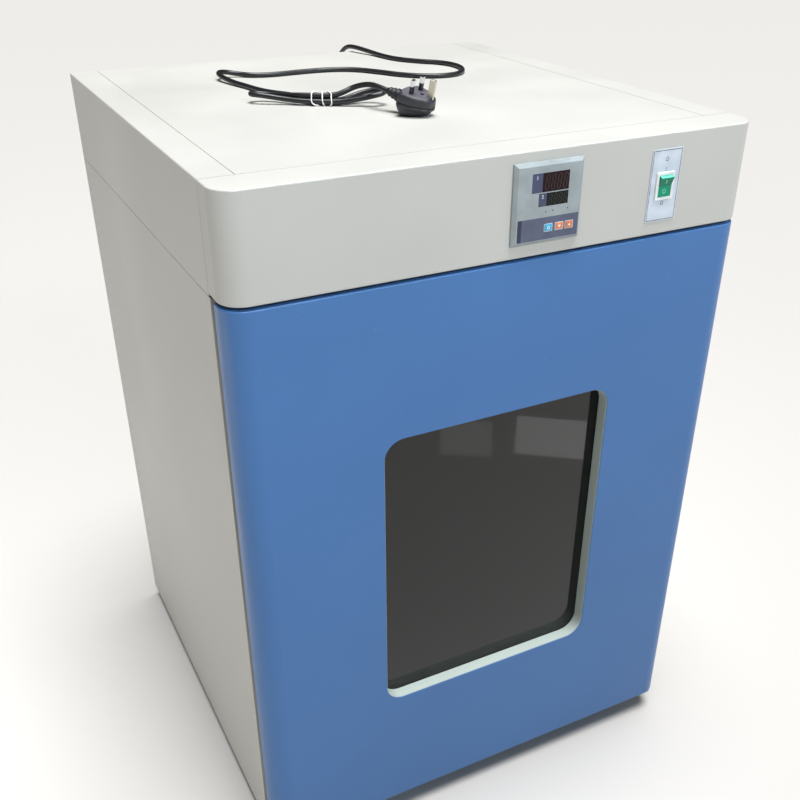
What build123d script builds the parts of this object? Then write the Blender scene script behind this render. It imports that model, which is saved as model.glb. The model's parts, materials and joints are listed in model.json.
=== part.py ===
from build123d import *
import os
from math import asin, cos, pi, radians, sin, sqrt, tan

# Laboratory incubator, in millimetres.
# The origin is on the floor under the middle of the cabinet, +Z is up and the door faces -Y.

# Cabinet
cabinet_width = 715.0
cabinet_depth = 720.0
shell_height = 993.0
foot_height = 22.0
foot_radius = 22.0
foot_base_radius = 19.0
foot_inset = 75.0
foot_bolt_radius = 4.0
foot_bolt_play = 0.2
foot_recess_radius = 9.0
foot_recess = 8.0
foot_nut_radius = 7.0
foot_nut_height = 6.0
corner_radius = 29.6
sheet = 1.2
edge_round = 2.0
seam = 0.8
flange = 20.0
base_sheet = 1.5
base_lip = 9.0

# Front of the cabinet
fascia_height = 125.3
fascia_depth = 55.0
fascia_return = 46.0
door_gap = 4.4
door_thickness = 40.0
gasket_gap = 12.3
door_lift = 15.6
frame_sheet = 1.5
frame_flange = 20.0

# Hood on top
top_inset = 41.0
joggle_under = 12.0
joggle_out = 14.0
tongue_length = 18.0
tab_length = 24.0
deck_lip = 16.0
louvre_count = 8
louvre_length = 50.0
louvre_width = 4.0
louvre_pitch = 10.0
louvre_x = -200.0

# Heated chamber
chamber_side_wall = 57.5
chamber_head = 51.5
chamber_rise = 62.0
chamber_rear = 117.7
chamber_sheet = 1.0
duct_depth = 46.0
baffle_gap = 24.0
insulation_play = 0.5
insulation_setback = 8.0
insulation_top_gap = 8.0

# Fan and heater
motor_radius = 40.0
motor_length = 46.0
motor_bore_depth = 30.0
shaft_radius = 4.0
shaft_play = 0.05
impeller_radius = 82.0
impeller_depth = 26.0
impeller_back_gap = 8.0
impeller_sheet = 2.0
hub_radius = 14.0
blade_count = 12
blade_thickness = 1.5
blade_length = 34.0
blade_lean = 35.0
heater_radius = 4.0
heater_play = 0.3
heater_half_span = 114.0
heater_bend = 22.0
heater_leg_x = 22.0
heater_leg_length = 24.0
inlet_radius = 54.0
inlet_pitch = 13.5
inlet_hole_radius = 4.0

# Shelves
shelf_rises = [206.0, 456.0]
shelf_rod = 3.0
shelf_wire = 1.5
shelf_wire_sink = 0.4
shelf_wire_count = 19
shelf_side_play = 1.5
shelf_front_gap = 32.0
shelf_back_gap = 10.0
runner_width = 14.0
runner_sheet = 1.5
runner_height = 16.0
runner_play = 0.1

# Temperature probe
probe_radius = 3.0
probe_play = 0.2
probe_reach = 60.0
probe_head_radius = 9.0
probe_head = 5.0
probe_x = 130.0
probe_setback = 90.0

# Door
window_margin = 186.4
window_sill = 207.0
window_offset = -3.6
window_top = 332.2
window_radius = 28.0
window_reveal = 19.6
reveal_step = 0.8
reveal_wall = 2.5
collar_flange = 12.0
collar_sheet = 1.5
glass_thickness = 4.0
glass_overlap = 9.0
glass_space = 10.0
glass_seal = 1.0
seal_width = 7.0
dike_side_inset = 15.0
dike_end_inset = 17.0
dike_depth = 13.0
dike_radius = 18.0
gasket_margin = 25.5
gasket_width = 22.0
gasket_clearance = 0.2

# Door hinge
hinge_inset = 22.5
hinge_setback = 21.0
hinge_pin_radius = 4.0
hinge_pin_play = 0.05
hinge_pin_length = 11.0
bush_radius = 7.0
bush_length = 13.0
bush_collar_radius = 9.0
bush_collar = 0.8
bush_play = 0.1
bracket_thickness = 3.0
bracket_inward = 22.0
bracket_outward = 11.0
bracket_front_gap = 4.0
bracket_leg = 44.0
bracket_foot = 45.0
bracket_play = 0.4

# Temperature controller
controller_size = 96.0
controller_x = 39.5
controller_drop = 60.5
controller_proud = 6.0
controller_rim = 2.5
controller_bevel = 4.2
controller_case_size = 90.0
controller_case_depth = 80.0
controller_case_chamfer = 2.0
case_play = 0.5
display_right = 26.6
process_width = 51.4
process_height = 22.2
process_bottom = 13.1
setpoint_width = 41.1
setpoint_height = 15.3
setpoint_bottom = -3.6
display_depth = 1.0
display_play = 0.1
key_width = 9.9
key_height = 7.7
key_row = -29.8
key_columns = {"key_set": 1.5, "key_down": 17.0, "key_up": 31.0}
key_proud = 1.0
key_depth = 3.0
key_travel = 0.7
key_play = 0.2

# Mains switch
switch_x = 214.5
switch_drop = 63.8
switch_plate_width = 46.3
switch_plate_height = 89.4
switch_plate_thickness = 1.0
switch_plate_rise = 0.4
bezel_width = 28.0
bezel_height = 34.3
bezel_proud = 2.2
housing_width = 23.6
housing_height = 30.0
housing_depth = 22.0
rocker_width = 19.6
rocker_radius = 13.2
rocker_slope = 12.0
rocker_pivot_depth = 2.2
rocker_tip = 4.2
rocker_back = 5.0
rocker_side_play = 0.3
rocker_end_play = 0.4
rocker_pin_radius = 1.5
rocker_pin_length = 1.0
rocker_pin_play = 0.05

# Electrical pieces in the hood
relay_width = 48.0
relay_depth = 62.0
relay_height = 22.0
relay_x = -130.0
relay_setback = 300.0
sink_height = 12.0
sink_fins = 7
sink_fin_thickness = 1.6
terminal_width = 72.0
terminal_depth = 24.0
terminal_height = 18.0
terminal_x = 110.0
terminal_inset = 120.0
terminal_ways = 6
terminal_slot = 7.0
wire_radius = 3.0
wire_play = 0.5
wire_bend = 14.0
wire_end_gap = 0.3
controller_lead = 90.0
switch_lead = 130.0

# Screws
screw_head_radius = 4.0
screw_head_height = 1.6
screw_radius = 2.0
screw_length = 7.0
screw_play = 0.1
back_screw_inset = 12.0
back_screw_rows = 5
hood_screw_inset = 57.5
hood_screw_middles = [-100.0, 160.0]

# Mains cord, tie and plug; their places are measured from the front face and the cabinet's top
cord_radius = 3.5
cord_lay = 3.7
gland_x = 100.0
gland_drop = 92.0
gland_flange_radius = 11.0
gland_flange = 3.0
gland_length = 30.0
gland_root_radius = 7.0
gland_tip_radius = 4.6
gland_nut_length = 6.0
gland_play = 0.2
plug_x = -17.3
plug_setback = 222.3
plug_face = 28.9
plug_turn = -59.7
plug_tilt = 13.1
plug_roll = 2.7
plug_outline = [(-18.0, 11.0), (-12.0, 24.0), (8.0, 21.5), (27.0, 9.5)]
plug_corner = 4.0
plug_bevel = 2.4
plug_rest = 0.3
plug_lower_edge = 4.0
plug_groove = 0.8
plug_groove_drop = 12.0
plug_screw_radius = 2.8
plug_screw_depth = 4.0
plug_screw_place = 9.5
boot_drop = 13.0
boot_end = -41.0
boot_root_radius = 7.0
boot_tip_radius = 4.8
boot_rings = [(-25.0, 8.2), (-31.0, 7.1), (-36.5, 6.1)]
boot_ring_length = 3.4
pin_spacing = 22.2
line_pin_width = 6.35
line_pin_thickness = 4.0
line_pin_length = 17.7
earth_pin_width = 4.0
earth_pin_thickness = 8.0
earth_pin_length = 22.7
sleeve_length = 9.0
pin_core = 0.7
pin_root = 6.0
pin_tip = 0.8
tie_wire = 0.7
tie_play = 0.4
tie_x = -102.0
tie_setback = 332.0
tie_turn = -30.0
tie_rings = 3
tie_pitch = 12.0
tie_half = 24.0
tie_twist_radius = 1.2
tie_twist_length = 9.0
strand_spacing = 8.2
strand_height = 5.4

# Places worked out from the sizes above
rocker_half = sqrt(rocker_radius**2 - rocker_tip**2)
rocker_centre = rocker_tip - rocker_half * tan(radians(rocker_slope))
rocker_tip_angle = asin(rocker_tip / rocker_radius) + radians(rocker_slope)
rocker_proud = rocker_radius * sin(rocker_tip_angle) - rocker_pivot_depth
front_proud = switch_plate_thickness + bezel_proud + rocker_proud
back_proud = screw_head_height
front = -cabinet_depth / 2 + (front_proud - back_proud) / 2
back = front + cabinet_depth
side = cabinet_width / 2
inside = side - sheet
shell_bottom = foot_height
top = foot_height + shell_height
fascia_bottom = top - fascia_height
door_top = fascia_bottom - door_gap
door_bottom = shell_bottom + door_lift
hood_bottom = fascia_bottom - door_gap / 2
deck_top = hood_bottom - seam
deck_bottom = deck_top - sheet
body_front = front + door_thickness + gasket_gap
door_back = front + door_thickness
base_top = shell_bottom + base_sheet
back_inner = back - sheet
flange_inner = back_inner - sheet
frame_back = body_front + frame_sheet
insulation_front = frame_back + insulation_setback
chamber_width = cabinet_width - 2 * chamber_side_wall
chamber_side = chamber_width / 2
chamber_floor = foot_height + chamber_rise
chamber_top = deck_bottom - chamber_head
chamber_height = chamber_top - chamber_floor
shelf_heights = [chamber_floor + rise for rise in shelf_rises]
chamber_mid = (chamber_floor + chamber_top) / 2
baffle_front = back - chamber_rear
duct_back = baffle_front + duct_depth
motor_front = duct_back + chamber_sheet
glass_front = front + window_reveal
glass_mid = glass_front + glass_thickness
inner_glass_front = glass_mid + glass_space
inner_glass_back = inner_glass_front + glass_thickness
window_width = cabinet_width - 2 * window_margin
window_height = top - window_top - door_bottom - window_sill
window_z = top - window_top - window_height / 2
dike_width = chamber_width - 2 * dike_side_inset
dike_height = chamber_height - 2 * dike_end_inset
dike_front = door_back + dike_depth
seam_front = front + fascia_depth
seam_back = seam_front + seam
cover_side = side - top_inset - seam
hinge_x = side - hinge_inset
hinge_y = front + hinge_setback
bracket_left = hinge_x - bracket_inward
bracket_right = hinge_x + bracket_outward
pin_hole_radius = hinge_pin_radius + hinge_pin_play
controller_z = top - controller_drop
switch_z = top - switch_drop
switch_face = front - switch_plate_thickness - bezel_proud
rocker_y = switch_face + rocker_pivot_depth
impeller_back = duct_back - impeller_back_gap
impeller_front = impeller_back - impeller_sheet - impeller_depth
heater_y = duct_back - duct_depth / 2
terminal_y = back - terminal_inset
terminal_mid = deck_top + terminal_height / 2
gland_z = top - gland_drop


def block(x0, x1, y0, y1, z0, z1):
    """A box between two corners."""
    place = Pos((x0 + x1) / 2, (y0 + y1) / 2, (z0 + z1) / 2)
    return place * Box(x1 - x0, y1 - y0, z1 - z0)


def rod(start, end, radius):
    """A round bar between two points."""
    start = Vector(*start)
    run = Vector(*end) - start
    return extrude(Plane(start, z_dir=run) * Circle(radius), run.length)


def taper(start, end, start_radius, end_radius):
    """A round bar between two points that changes its radius."""
    start = Vector(*start)
    run = Vector(*end) - start
    return Plane(start, z_dir=run) * Pos(0, 0, run.length / 2) * Cone(start_radius, end_radius, run.length)


def panel(width, height, radius, x, z, y0, y1):
    """A plate facing -Y with rounded corners, from y0 back to y1."""
    place = Plane((x, y0, z), x_dir=(1, 0, 0), z_dir=(0, 1, 0))
    return extrude(place * RectangleRounded(width, height, radius), y1 - y0)


def ring(width, height, radius, wall, x, z, y0, y1):
    """A rounded rectangular ring facing -Y whose hole is width by height."""
    outer = panel(width + 2 * wall, height + 2 * wall, radius + wall, x, z, y0, y1)
    return outer - panel(width, height, radius, x, z, y0 - 1, y1 + 1)


def cap(inset, depth, z0, z1):
    """A slab with two rounded front corners, set in from the cabinet's outline, depth behind the front."""
    width = cabinet_width - 2 * inset
    length = depth - inset
    outline = Pos(0, front + inset + length / 2) * Rectangle(width, length)
    corners = outline.vertices().sort_by(Axis.Y)[:2]
    outline = fillet(corners, corner_radius - inset)
    return extrude(Pos(0, 0, z0) * outline, z1 - z0)


def front_shell(depth, z0, z1):
    """A sheet cap open at the back, with its front upper and lower edges rounded."""
    outer = cap(0, depth, z0, z1)
    rims = []
    for z in (z0, z1):
        level = outer.edges().filter_by_position(Axis.Z, z - 0.01, z + 0.01)
        rims += level.filter_by_position(Axis.Y, front - 1, front + depth - 1)
    outer = fillet(rims, edge_round)
    return outer - cap(sheet, depth + 1, z0 + sheet, z1 - sheet)


def tube(points, radii, radius):
    """A round tube of straight runs and tangent arcs."""
    path = FilletPolyline(*[Vector(*point) for point in points], radius=radii)
    return sweep(Plane(path @ 0, z_dir=path % 0) * Circle(radius), path=path)


def corner_radii(points):
    """The radius of each corner: 0.45 of its shorter run over the tangent of half the turn."""
    vectors = [Vector(*point) for point in points]
    radii = []
    for before, here, after in zip(vectors, vectors[1:], vectors[2:]):
        arriving = here - before
        leaving = after - here
        half_turn = radians(arriving.get_angle(leaving)) / 2
        radii.append(0.45 * min(arriving.length, leaving.length) / tan(half_turn))
    return radii


def screw(point, outward):
    """A pan head screw whose head stands on a surface at the point."""
    point = Vector(*point)
    outward = Vector(*outward)
    head = rod(point, point + outward * screw_head_height, screw_head_radius)
    return head + rod(point - outward * screw_length, point, screw_radius)


def screw_hole(point, outward):
    """The clearance hole for such a screw."""
    point = Vector(*point)
    outward = Vector(*outward)
    return rod(point - outward * (screw_length + 1), point + outward, screw_radius + screw_play)


# Screw places, which the sheets that they pass through share
back_screws = []
for row in range(back_screw_rows):
    span = deck_bottom - base_top - 2 * back_screw_inset
    height = base_top + back_screw_inset + span * row / (back_screw_rows - 1)
    for sign in (-1, 1):
        back_screws.append((sign * (inside - back_screw_inset), back, height))
hood_screw_reach = side - hood_screw_inset
hood_screw_row = [-hood_screw_reach, *hood_screw_middles, hood_screw_reach]
hood_screws = [(x, back, deck_top + deck_lip / 2) for x in hood_screw_row]
lower_hinge_screws = []
for rise in (16.0, 34.0):
    place = (hinge_x, body_front, door_bottom - bush_collar - bracket_play + rise)
    lower_hinge_screws.append(place)
upper_hinge_screws = []
for reach in (16.0, 34.0):
    place = (hinge_x - 8, body_front + reach, deck_top + bracket_thickness)
    upper_hinge_screws.append(place)
foot_places = []
for sign_x in (-1, 1):
    for y in (body_front + foot_inset, back - foot_inset):
        foot_places.append((sign_x * (side - foot_inset), y))


def feet():
    """Four rubber feet with a recess for their bolt heads."""
    pieces = []
    for x, y in foot_places:
        foot = taper((x, y, 0), (x, y, foot_height), foot_base_radius, foot_radius)
        foot -= rod((x, y, -1), (x, y, foot_recess), foot_recess_radius)
        foot -= rod((x, y, 0), (x, y, foot_height + 1), foot_bolt_radius + foot_bolt_play)
        pieces.append(foot)
    return pieces


def foot_bolts():
    """The bolt and nut that hold each foot to the base."""
    pieces = []
    for x, y in foot_places:
        head = rod((x, y, foot_recess - 5), (x, y, foot_recess), foot_nut_radius)
        shank = rod((x, y, foot_recess - 1), (x, y, base_top + foot_nut_height + 3), foot_bolt_radius)
        nut = rod((x, y, base_top), (x, y, base_top + foot_nut_height), foot_nut_radius)
        pieces.append(head + shank + nut)
    return pieces


def base_pan():
    """The bottom sheet with a lip along its sides."""
    pan = block(-inside, inside, body_front, back_inner, shell_bottom, base_top)
    for sign in (-1, 1):
        edges = sorted((sign * inside, sign * (inside - base_sheet)))
        lip_front = frame_back + frame_flange + 1
        pan += block(*edges, lip_front, flange_inner - 1, base_top - 0.5, base_top + base_lip)
    for x, y in foot_places:
        pan -= rod((x, y, shell_bottom - 1), (x, y, base_top + 1), foot_bolt_radius + foot_bolt_play)
    return pan


def side_panel(sign):
    """One outer side sheet, from the base to the hood, with its rear return flange."""
    outer, inner = sorted((sign * side, sign * inside))
    skin = block(outer, inner, body_front, back, shell_bottom, deck_top)
    edges = sorted((sign * inside, sign * (inside - flange)))
    skin += block(*edges, flange_inner, back_inner, base_top, deck_bottom)
    skin += block(*sorted((sign * side, sign * (inside - 0.5))), flange_inner, back_inner, base_top, deck_bottom)
    for place in back_screws:
        skin -= screw_hole(place, (0, 1, 0))
    return skin


def back_panel():
    """The flat rear sheet between the side sheets, screwed to their flanges."""
    skin = block(-inside, inside, back_inner, back, shell_bottom, deck_top)
    for place in back_screws:
        skin -= screw_hole(place, (0, 1, 0))
    return skin


def front_frame():
    """The folded ring that the door gasket closes on, round the chamber's mouth."""
    frame = block(-inside, inside, body_front, frame_back, base_top, deck_bottom)
    for sign in (-1, 1):
        edges = sorted((sign * inside, sign * (inside - frame_sheet)))
        frame += block(*edges, frame_back - 0.5, body_front + frame_flange, base_top, deck_bottom)
    for z0, z1 in ((base_top, base_top + frame_sheet), (deck_bottom - frame_sheet, deck_bottom)):
        frame += block(-inside, inside, frame_back - 0.5, body_front + frame_flange, z0, z1)
    frame -= block(-chamber_side, chamber_side, body_front - 1, frame_back + 1, chamber_floor, chamber_top)
    plate_top = door_bottom - bush_collar - bracket_play
    slot_right = inside - frame_sheet - bracket_play
    frame -= block(bracket_left - bracket_play, slot_right + bracket_play / 2, body_front - 1, frame_back + 1,
                   plate_top - bracket_thickness - bracket_play, plate_top + bracket_play)
    for place in lower_hinge_screws:
        frame -= screw_hole(place, (0, -1, 0))
    for place in upper_hinge_screws:
        frame -= screw_hole(place, (0, 0, 1))
    return frame


def control_deck():
    """The sheet that closes the insulated body and carries the electrical pieces in the hood."""
    deck = block(-inside, inside, body_front, back_inner, deck_bottom, deck_top)
    for sign in (-1, 1):
        edges = sorted((sign * inside, sign * (inside - sheet)))
        lip_front = seam_back + tab_length + 2
        deck += block(*edges, lip_front, flange_inner - 1, deck_top - 0.5, hood_bottom + deck_lip)
    deck += block(-inside + flange, inside - flange, flange_inner, back_inner, deck_top - 0.5, hood_bottom + deck_lip)
    probe_y = baffle_front - probe_setback
    deck -= rod((probe_x, probe_y, deck_bottom - 1), (probe_x, probe_y, deck_top + 1), probe_radius + probe_play)
    cable_y = motor_front + motor_length / 2
    deck -= rod((0, cable_y, deck_bottom - 1), (0, cable_y, deck_top + 1), wire_radius + wire_play)
    for place in upper_hinge_screws:
        deck -= screw_hole(place, (0, 0, 1))
    for place in hood_screws:
        deck -= screw_hole(place, (0, 1, 0))
    return deck


def chamber_side_walls():
    """The two stainless side walls of the chamber."""
    walls = []
    for sign in (-1, 1):
        edges = sorted((sign * chamber_side, sign * (chamber_side + chamber_sheet)))
        walls.append(block(*edges, frame_back, duct_back, chamber_floor, chamber_top))
    return walls


def chamber_floor_sheet():
    """The stainless floor of the chamber."""
    reach = chamber_side + chamber_sheet
    return block(-reach, reach, frame_back, duct_back, chamber_floor - chamber_sheet, chamber_floor)


def chamber_ceiling():
    """The stainless ceiling of the chamber, with the probe's hole."""
    reach = chamber_side + chamber_sheet
    sheet_piece = block(-reach, reach, frame_back, duct_back, chamber_top, chamber_top + chamber_sheet)
    y = baffle_front - probe_setback
    hole = rod((probe_x, y, chamber_top - 1), (probe_x, y, chamber_top + 2), probe_radius + probe_play)
    return sheet_piece - hole


def chamber_back_wall():
    """The stainless back wall, with holes for the fan shaft and the heater's legs."""
    reach = chamber_side + chamber_sheet
    wall = block(-reach, reach, duct_back, motor_front, chamber_floor - chamber_sheet, chamber_top + chamber_sheet)
    wall -= rod((0, duct_back - 1, chamber_mid), (0, motor_front + 1, chamber_mid), shaft_radius + 1)
    leg_z = chamber_mid - heater_half_span
    for sign in (-1, 1):
        start = (sign * heater_leg_x, duct_back - 1, leg_z)
        wall -= rod(start, (sign * heater_leg_x, motor_front + 1, leg_z), heater_radius + heater_play)
    return wall


def air_baffle():
    """The duct cover in front of the fan, open above and below and drilled in front of the impeller."""
    reach = chamber_side - insulation_play
    low = chamber_floor + baffle_gap
    high = chamber_top - baffle_gap
    cover = block(-reach, reach, baffle_front, baffle_front + chamber_sheet, low, high)
    for sign in (-1, 1):
        edges = sorted((sign * reach, sign * (reach - chamber_sheet)))
        cover += block(*edges, baffle_front, duct_back, low, high)
    holes = [(0.0, 0.0)]
    for turn in range(1, int(inlet_radius / inlet_pitch) + 1):
        for step in range(6 * turn):
            angle = 2 * pi * step / (6 * turn)
            holes.append((turn * inlet_pitch * cos(angle), turn * inlet_pitch * sin(angle)))
    drills = []
    for x, z in holes:
        start = (x, baffle_front - 1, chamber_mid + z)
        drills.append(rod(start, (x, baffle_front + 2, chamber_mid + z), inlet_hole_radius))
    return cover - drills


def insulation_sides():
    """The two side slabs of glass wool."""
    inner = chamber_side + chamber_sheet + insulation_play
    outer = inside - frame_sheet - insulation_play
    low = base_top + frame_sheet + insulation_play
    high = deck_bottom - insulation_top_gap
    slabs = []
    for sign in (-1, 1):
        slab = block(*sorted((sign * inner, sign * outer)), insulation_front, duct_back, low, high)
        for x, y in foot_places:
            slab -= rod((x, y, base_top), (x, y, base_top + foot_nut_height + 4), foot_recess_radius)
        slabs.append(slab)
    return slabs


def insulation_bottom():
    """The slab of glass wool under the chamber."""
    reach = chamber_side + chamber_sheet
    high = chamber_floor - chamber_sheet - insulation_play
    low = base_top + frame_sheet + insulation_play
    slab = block(-reach, reach, insulation_front, duct_back, low, high)
    for x, y in foot_places:
        slab -= rod((x, y, base_top), (x, y, base_top + foot_nut_height + 4), foot_recess_radius)
    return slab


def insulation_top():
    """The slab of glass wool over the chamber, with the probe's channel."""
    reach = chamber_side + chamber_sheet
    low = chamber_top + chamber_sheet + insulation_play
    slab = block(-reach, reach, insulation_front, duct_back, low, deck_bottom - insulation_top_gap)
    y = baffle_front - probe_setback
    return slab - rod((probe_x, y, low - 1), (probe_x, y, deck_top), probe_radius + 2 * probe_play)


def insulation_back():
    """The rear slab of glass wool, cut out for the motor, the heater's legs and the cable."""
    reach = inside - flange - 1
    y0 = motor_front + insulation_play
    y1 = flange_inner - insulation_play
    low = base_top + frame_sheet + insulation_play
    slab = block(-reach, reach, y0, y1, low, deck_bottom - insulation_top_gap)
    slab -= rod((0, y0 - 1, chamber_mid), (0, y1 + 1, chamber_mid), motor_radius + 1)
    leg_z = chamber_mid - heater_half_span
    leg_reach = heater_leg_x + heater_radius + 2
    slab -= block(-leg_reach, leg_reach, y0 - 1, y1 + 1, leg_z - heater_radius - 2, leg_z + heater_radius + 2)
    cable_y = motor_front + motor_length / 2
    slot = wire_radius + wire_play
    slab -= block(-slot, slot, cable_y - slot, y1 + 1, chamber_mid, deck_bottom)
    for x, y in foot_places:
        slab -= rod((x, y, base_top), (x, y, base_top + foot_nut_height + 4), foot_recess_radius)
    return slab


def heater_tube():
    """The tubular heater: one loop round the fan with two legs through the back wall."""
    leg_z = chamber_mid - heater_half_span
    high_z = chamber_mid + heater_half_span
    leg_end = motor_front + heater_leg_length
    span = heater_half_span
    points = [(-heater_leg_x, leg_end, leg_z), (-heater_leg_x, heater_y, leg_z), (-span, heater_y, leg_z),
              (-span, heater_y, high_z), (span, heater_y, high_z), (span, heater_y, leg_z),
              (heater_leg_x, heater_y, leg_z), (heater_leg_x, leg_end, leg_z)]
    tight = heater_bend / 2
    radii = [tight, heater_bend, heater_bend, heater_bend, heater_bend, tight]
    return tube(points, radii, heater_radius)


def fan_motor():
    """The shaded-pole motor behind the chamber, bored for its shaft."""
    end = motor_front + motor_length
    body = rod((0, motor_front, chamber_mid), (0, end, chamber_mid), motor_radius)
    body = fillet(body.edges().filter_by_position(Axis.Y, end - 0.1, end + 0.1), 4)
    bore_end = motor_front + motor_bore_depth
    return body - rod((0, motor_front - 1, chamber_mid), (0, bore_end, chamber_mid), shaft_radius + shaft_play)


def fan_shaft():
    """The motor's shaft."""
    end = motor_front + motor_bore_depth - 1
    return rod((0, impeller_front, chamber_mid), (0, end, chamber_mid), shaft_radius)


def fan_impeller():
    """A centrifugal wheel: a back disc, a hub and leaning blades."""
    disc_front = impeller_back - impeller_sheet
    centre = (0, impeller_back, chamber_mid)
    wheel = rod((0, disc_front, chamber_mid), centre, impeller_radius)
    wheel += rod((0, disc_front - impeller_depth * 0.7, chamber_mid), centre, hub_radius)
    for index in range(blade_count):
        blade = Box(blade_length, impeller_depth + 0.5, blade_thickness)
        blade = Pos(impeller_radius - blade_length / 2 - 4, 0, 0) * Rot(0, blade_lean, 0) * blade
        turn = Rot(0, 360 * index / blade_count, 0)
        wheel += Pos(0, disc_front - impeller_depth / 2 + 0.25, chamber_mid) * turn * blade
    bore = rod((0, impeller_front - 1, chamber_mid), (0, impeller_back + 1, chamber_mid), shaft_radius + shaft_play)
    return wheel - bore


def temperature_sensor():
    """The probe that hangs from the deck into the chamber."""
    y = baffle_front - probe_setback
    head = rod((probe_x, y, deck_top), (probe_x, y, deck_top + probe_head), probe_head_radius)
    return head + rod((probe_x, y, chamber_top - probe_reach), (probe_x, y, deck_top + 1), probe_radius)


def shelf_runners():
    """Four angle runners, a pair for each shelf."""
    pieces = []
    y0 = frame_back + flange
    y1 = baffle_front - 5
    for height in shelf_heights:
        seat = height - runner_play
        for sign in (-1, 1):
            wall = sorted((sign * chamber_side, sign * (chamber_side - runner_sheet)))
            ledge = sorted((sign * chamber_side, sign * (chamber_side - runner_width)))
            angle = block(*wall, y0, y1, seat - runner_height, seat)
            angle += block(*ledge, y0, y1, seat - runner_sheet, seat)
            pieces.append(angle)
    return pieces


def shelf(height):
    """A wire shelf: a round rod frame, two cross rods and the wires that lie on them."""
    reach = chamber_side - shelf_side_play - shelf_rod
    y0 = body_front + shelf_front_gap + shelf_rod
    y1 = baffle_front - shelf_back_gap - shelf_rod
    z = height + shelf_rod
    grid = rod((-reach, y0, z), (reach, y0, z), shelf_rod)
    grid += rod((-reach, y1, z), (reach, y1, z), shelf_rod)
    for sign in (-1, 1):
        grid += rod((sign * reach, y0, z), (sign * reach, y1, z), shelf_rod)
        for y in (y0, y1):
            grid += Pos(sign * reach, y, z) * Sphere(shelf_rod)
    wire_z = z + shelf_rod - shelf_wire_sink
    bars = []
    for share in (1 / 3, 2 / 3):
        y = y0 + (y1 - y0) * share
        bars.append(rod((-reach, y, z), (reach, y, z), shelf_rod * 0.9))
    for index in range(shelf_wire_count):
        x = -reach + 2 * reach * (index + 1) / (shelf_wire_count + 1)
        bars.append(rod((x, y0, wire_z), (x, y1, wire_z), shelf_wire))
    return grid + bars


def hood_side(sign):
    """One side of the hood with its top flange, a step for the cover and a tab inside the fascia."""
    outer, inner = sorted((sign * side, sign * inside))
    skin = block(outer, inner, seam_back, back, hood_bottom, top)
    edge = sorted((sign * side, sign * (side - top_inset)))
    skin += block(*edge, seam_back, back, top - sheet, top)
    corner = skin.edges().filter_by(Axis.Y).filter_by_position(Axis.Z, top - 0.01, top + 0.01)
    corner = corner.sort_by(Axis.X)[-1] if sign > 0 else corner.sort_by(Axis.X)[0]
    skin = fillet(corner, edge_round)
    step = sorted((sign * (side - top_inset + joggle_under), sign * (side - top_inset - joggle_out)))
    step_front = seam_back + tongue_length + 2
    skin += block(*step, step_front, back_inner, top - 2 * sheet, top - sheet)
    tab = sorted((sign * inside, sign * (inside - sheet)))
    low = hood_bottom + tab_length
    skin += block(*tab, seam_front - tab_length, seam_back + tab_length, low, top - tab_length)
    return skin


def top_cover():
    """The lift-off cover between the hood's sides, whose front tongue slips under the fascia."""
    cover = block(-cover_side, cover_side, seam_back, back, top - sheet, top)
    tongue_reach = cover_side - joggle_out - joggle_under
    tongue = block(-tongue_reach, tongue_reach, seam_front - tongue_length, seam_back + tongue_length,
                   top - 2 * sheet, top - sheet)
    return cover + tongue


def hood_back():
    """The rear sheet of the hood, with louvres and the cord's hole."""
    skin = block(-inside, inside, back_inner, back, hood_bottom, top - sheet)
    start = (hood_bottom + top) / 2 - louvre_pitch * (louvre_count - 1) / 2
    slots = []
    for index in range(louvre_count):
        z = start + louvre_pitch * index
        slots.append(panel(louvre_length, louvre_width, louvre_width / 2 - 0.1, louvre_x, z, back_inner - 1, back + 1))
    for place in hood_screws:
        slots.append(screw_hole(place, (0, 1, 0)))
    hole = rod((gland_x, back_inner - 1, gland_z), (gland_x, back + 1, gland_z), gland_root_radius + gland_play)
    return skin - slots - hole


def fascia():
    """The front of the hood, with openings for the controller, the switch and the hinge pin."""
    shell = front_shell(fascia_depth, fascia_bottom, top)
    reach = inside - 0.01
    shell -= block(-reach, reach, front + fascia_return, seam_front + 1, fascia_bottom - 1, fascia_bottom + sheet)
    case = controller_case_size / 2 + case_play
    shell -= block(controller_x - case, controller_x + case, front - 1, front + sheet + 1,
                   controller_z - case, controller_z + case)
    half_width = housing_width / 2 + case_play
    half_height = housing_height / 2 + case_play
    shell -= block(switch_x - half_width, switch_x + half_width, front - 1, front + sheet + 1,
                   switch_z - half_height, switch_z + half_height)
    low = fascia_bottom - 1
    return shell - rod((hinge_x, hinge_y, low), (hinge_x, hinge_y, fascia_bottom + 2), hinge_pin_radius + 1)


def controller_bezel():
    """The square front of the controller, with a bevelled rim and pockets for its displays and keys."""
    half = controller_size / 2
    face = front - controller_proud
    rim_y = front - controller_rim
    plate = block(controller_x - half, controller_x + half, rim_y, front, controller_z - half, controller_z + half)
    wide = Plane((controller_x, rim_y, controller_z), x_dir=(1, 0, 0), z_dir=(0, -1, 0))
    narrow = Plane((controller_x, face, controller_z), x_dir=(1, 0, 0), z_dir=(0, -1, 0))
    small = controller_size - 2 * controller_bevel
    plate += loft([wide * Rectangle(controller_size, controller_size), narrow * Rectangle(small, small)])
    for x0, x1, z0, z1 in display_windows():
        plate -= block(x0 - display_play, x1 + display_play, face - 1, face + display_depth,
                       z0 - display_play, z1 + display_play)
    for column in key_columns.values():
        x = controller_x + column
        z = controller_z + key_row
        reach = key_width / 2 + key_play
        rise = key_height / 2 + key_play
        depth = key_depth + key_travel + display_play
        plate -= block(x - reach, x + reach, face - 1, face + depth, z - rise, z + rise)
    return plate


def display_windows():
    """The edges of the upper and the lower display."""
    right = controller_x + display_right
    upper = controller_z + process_bottom
    lower = controller_z + setpoint_bottom
    return [(right - process_width, right, upper, upper + process_height),
            (right - setpoint_width, right, lower, lower + setpoint_height)]


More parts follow.
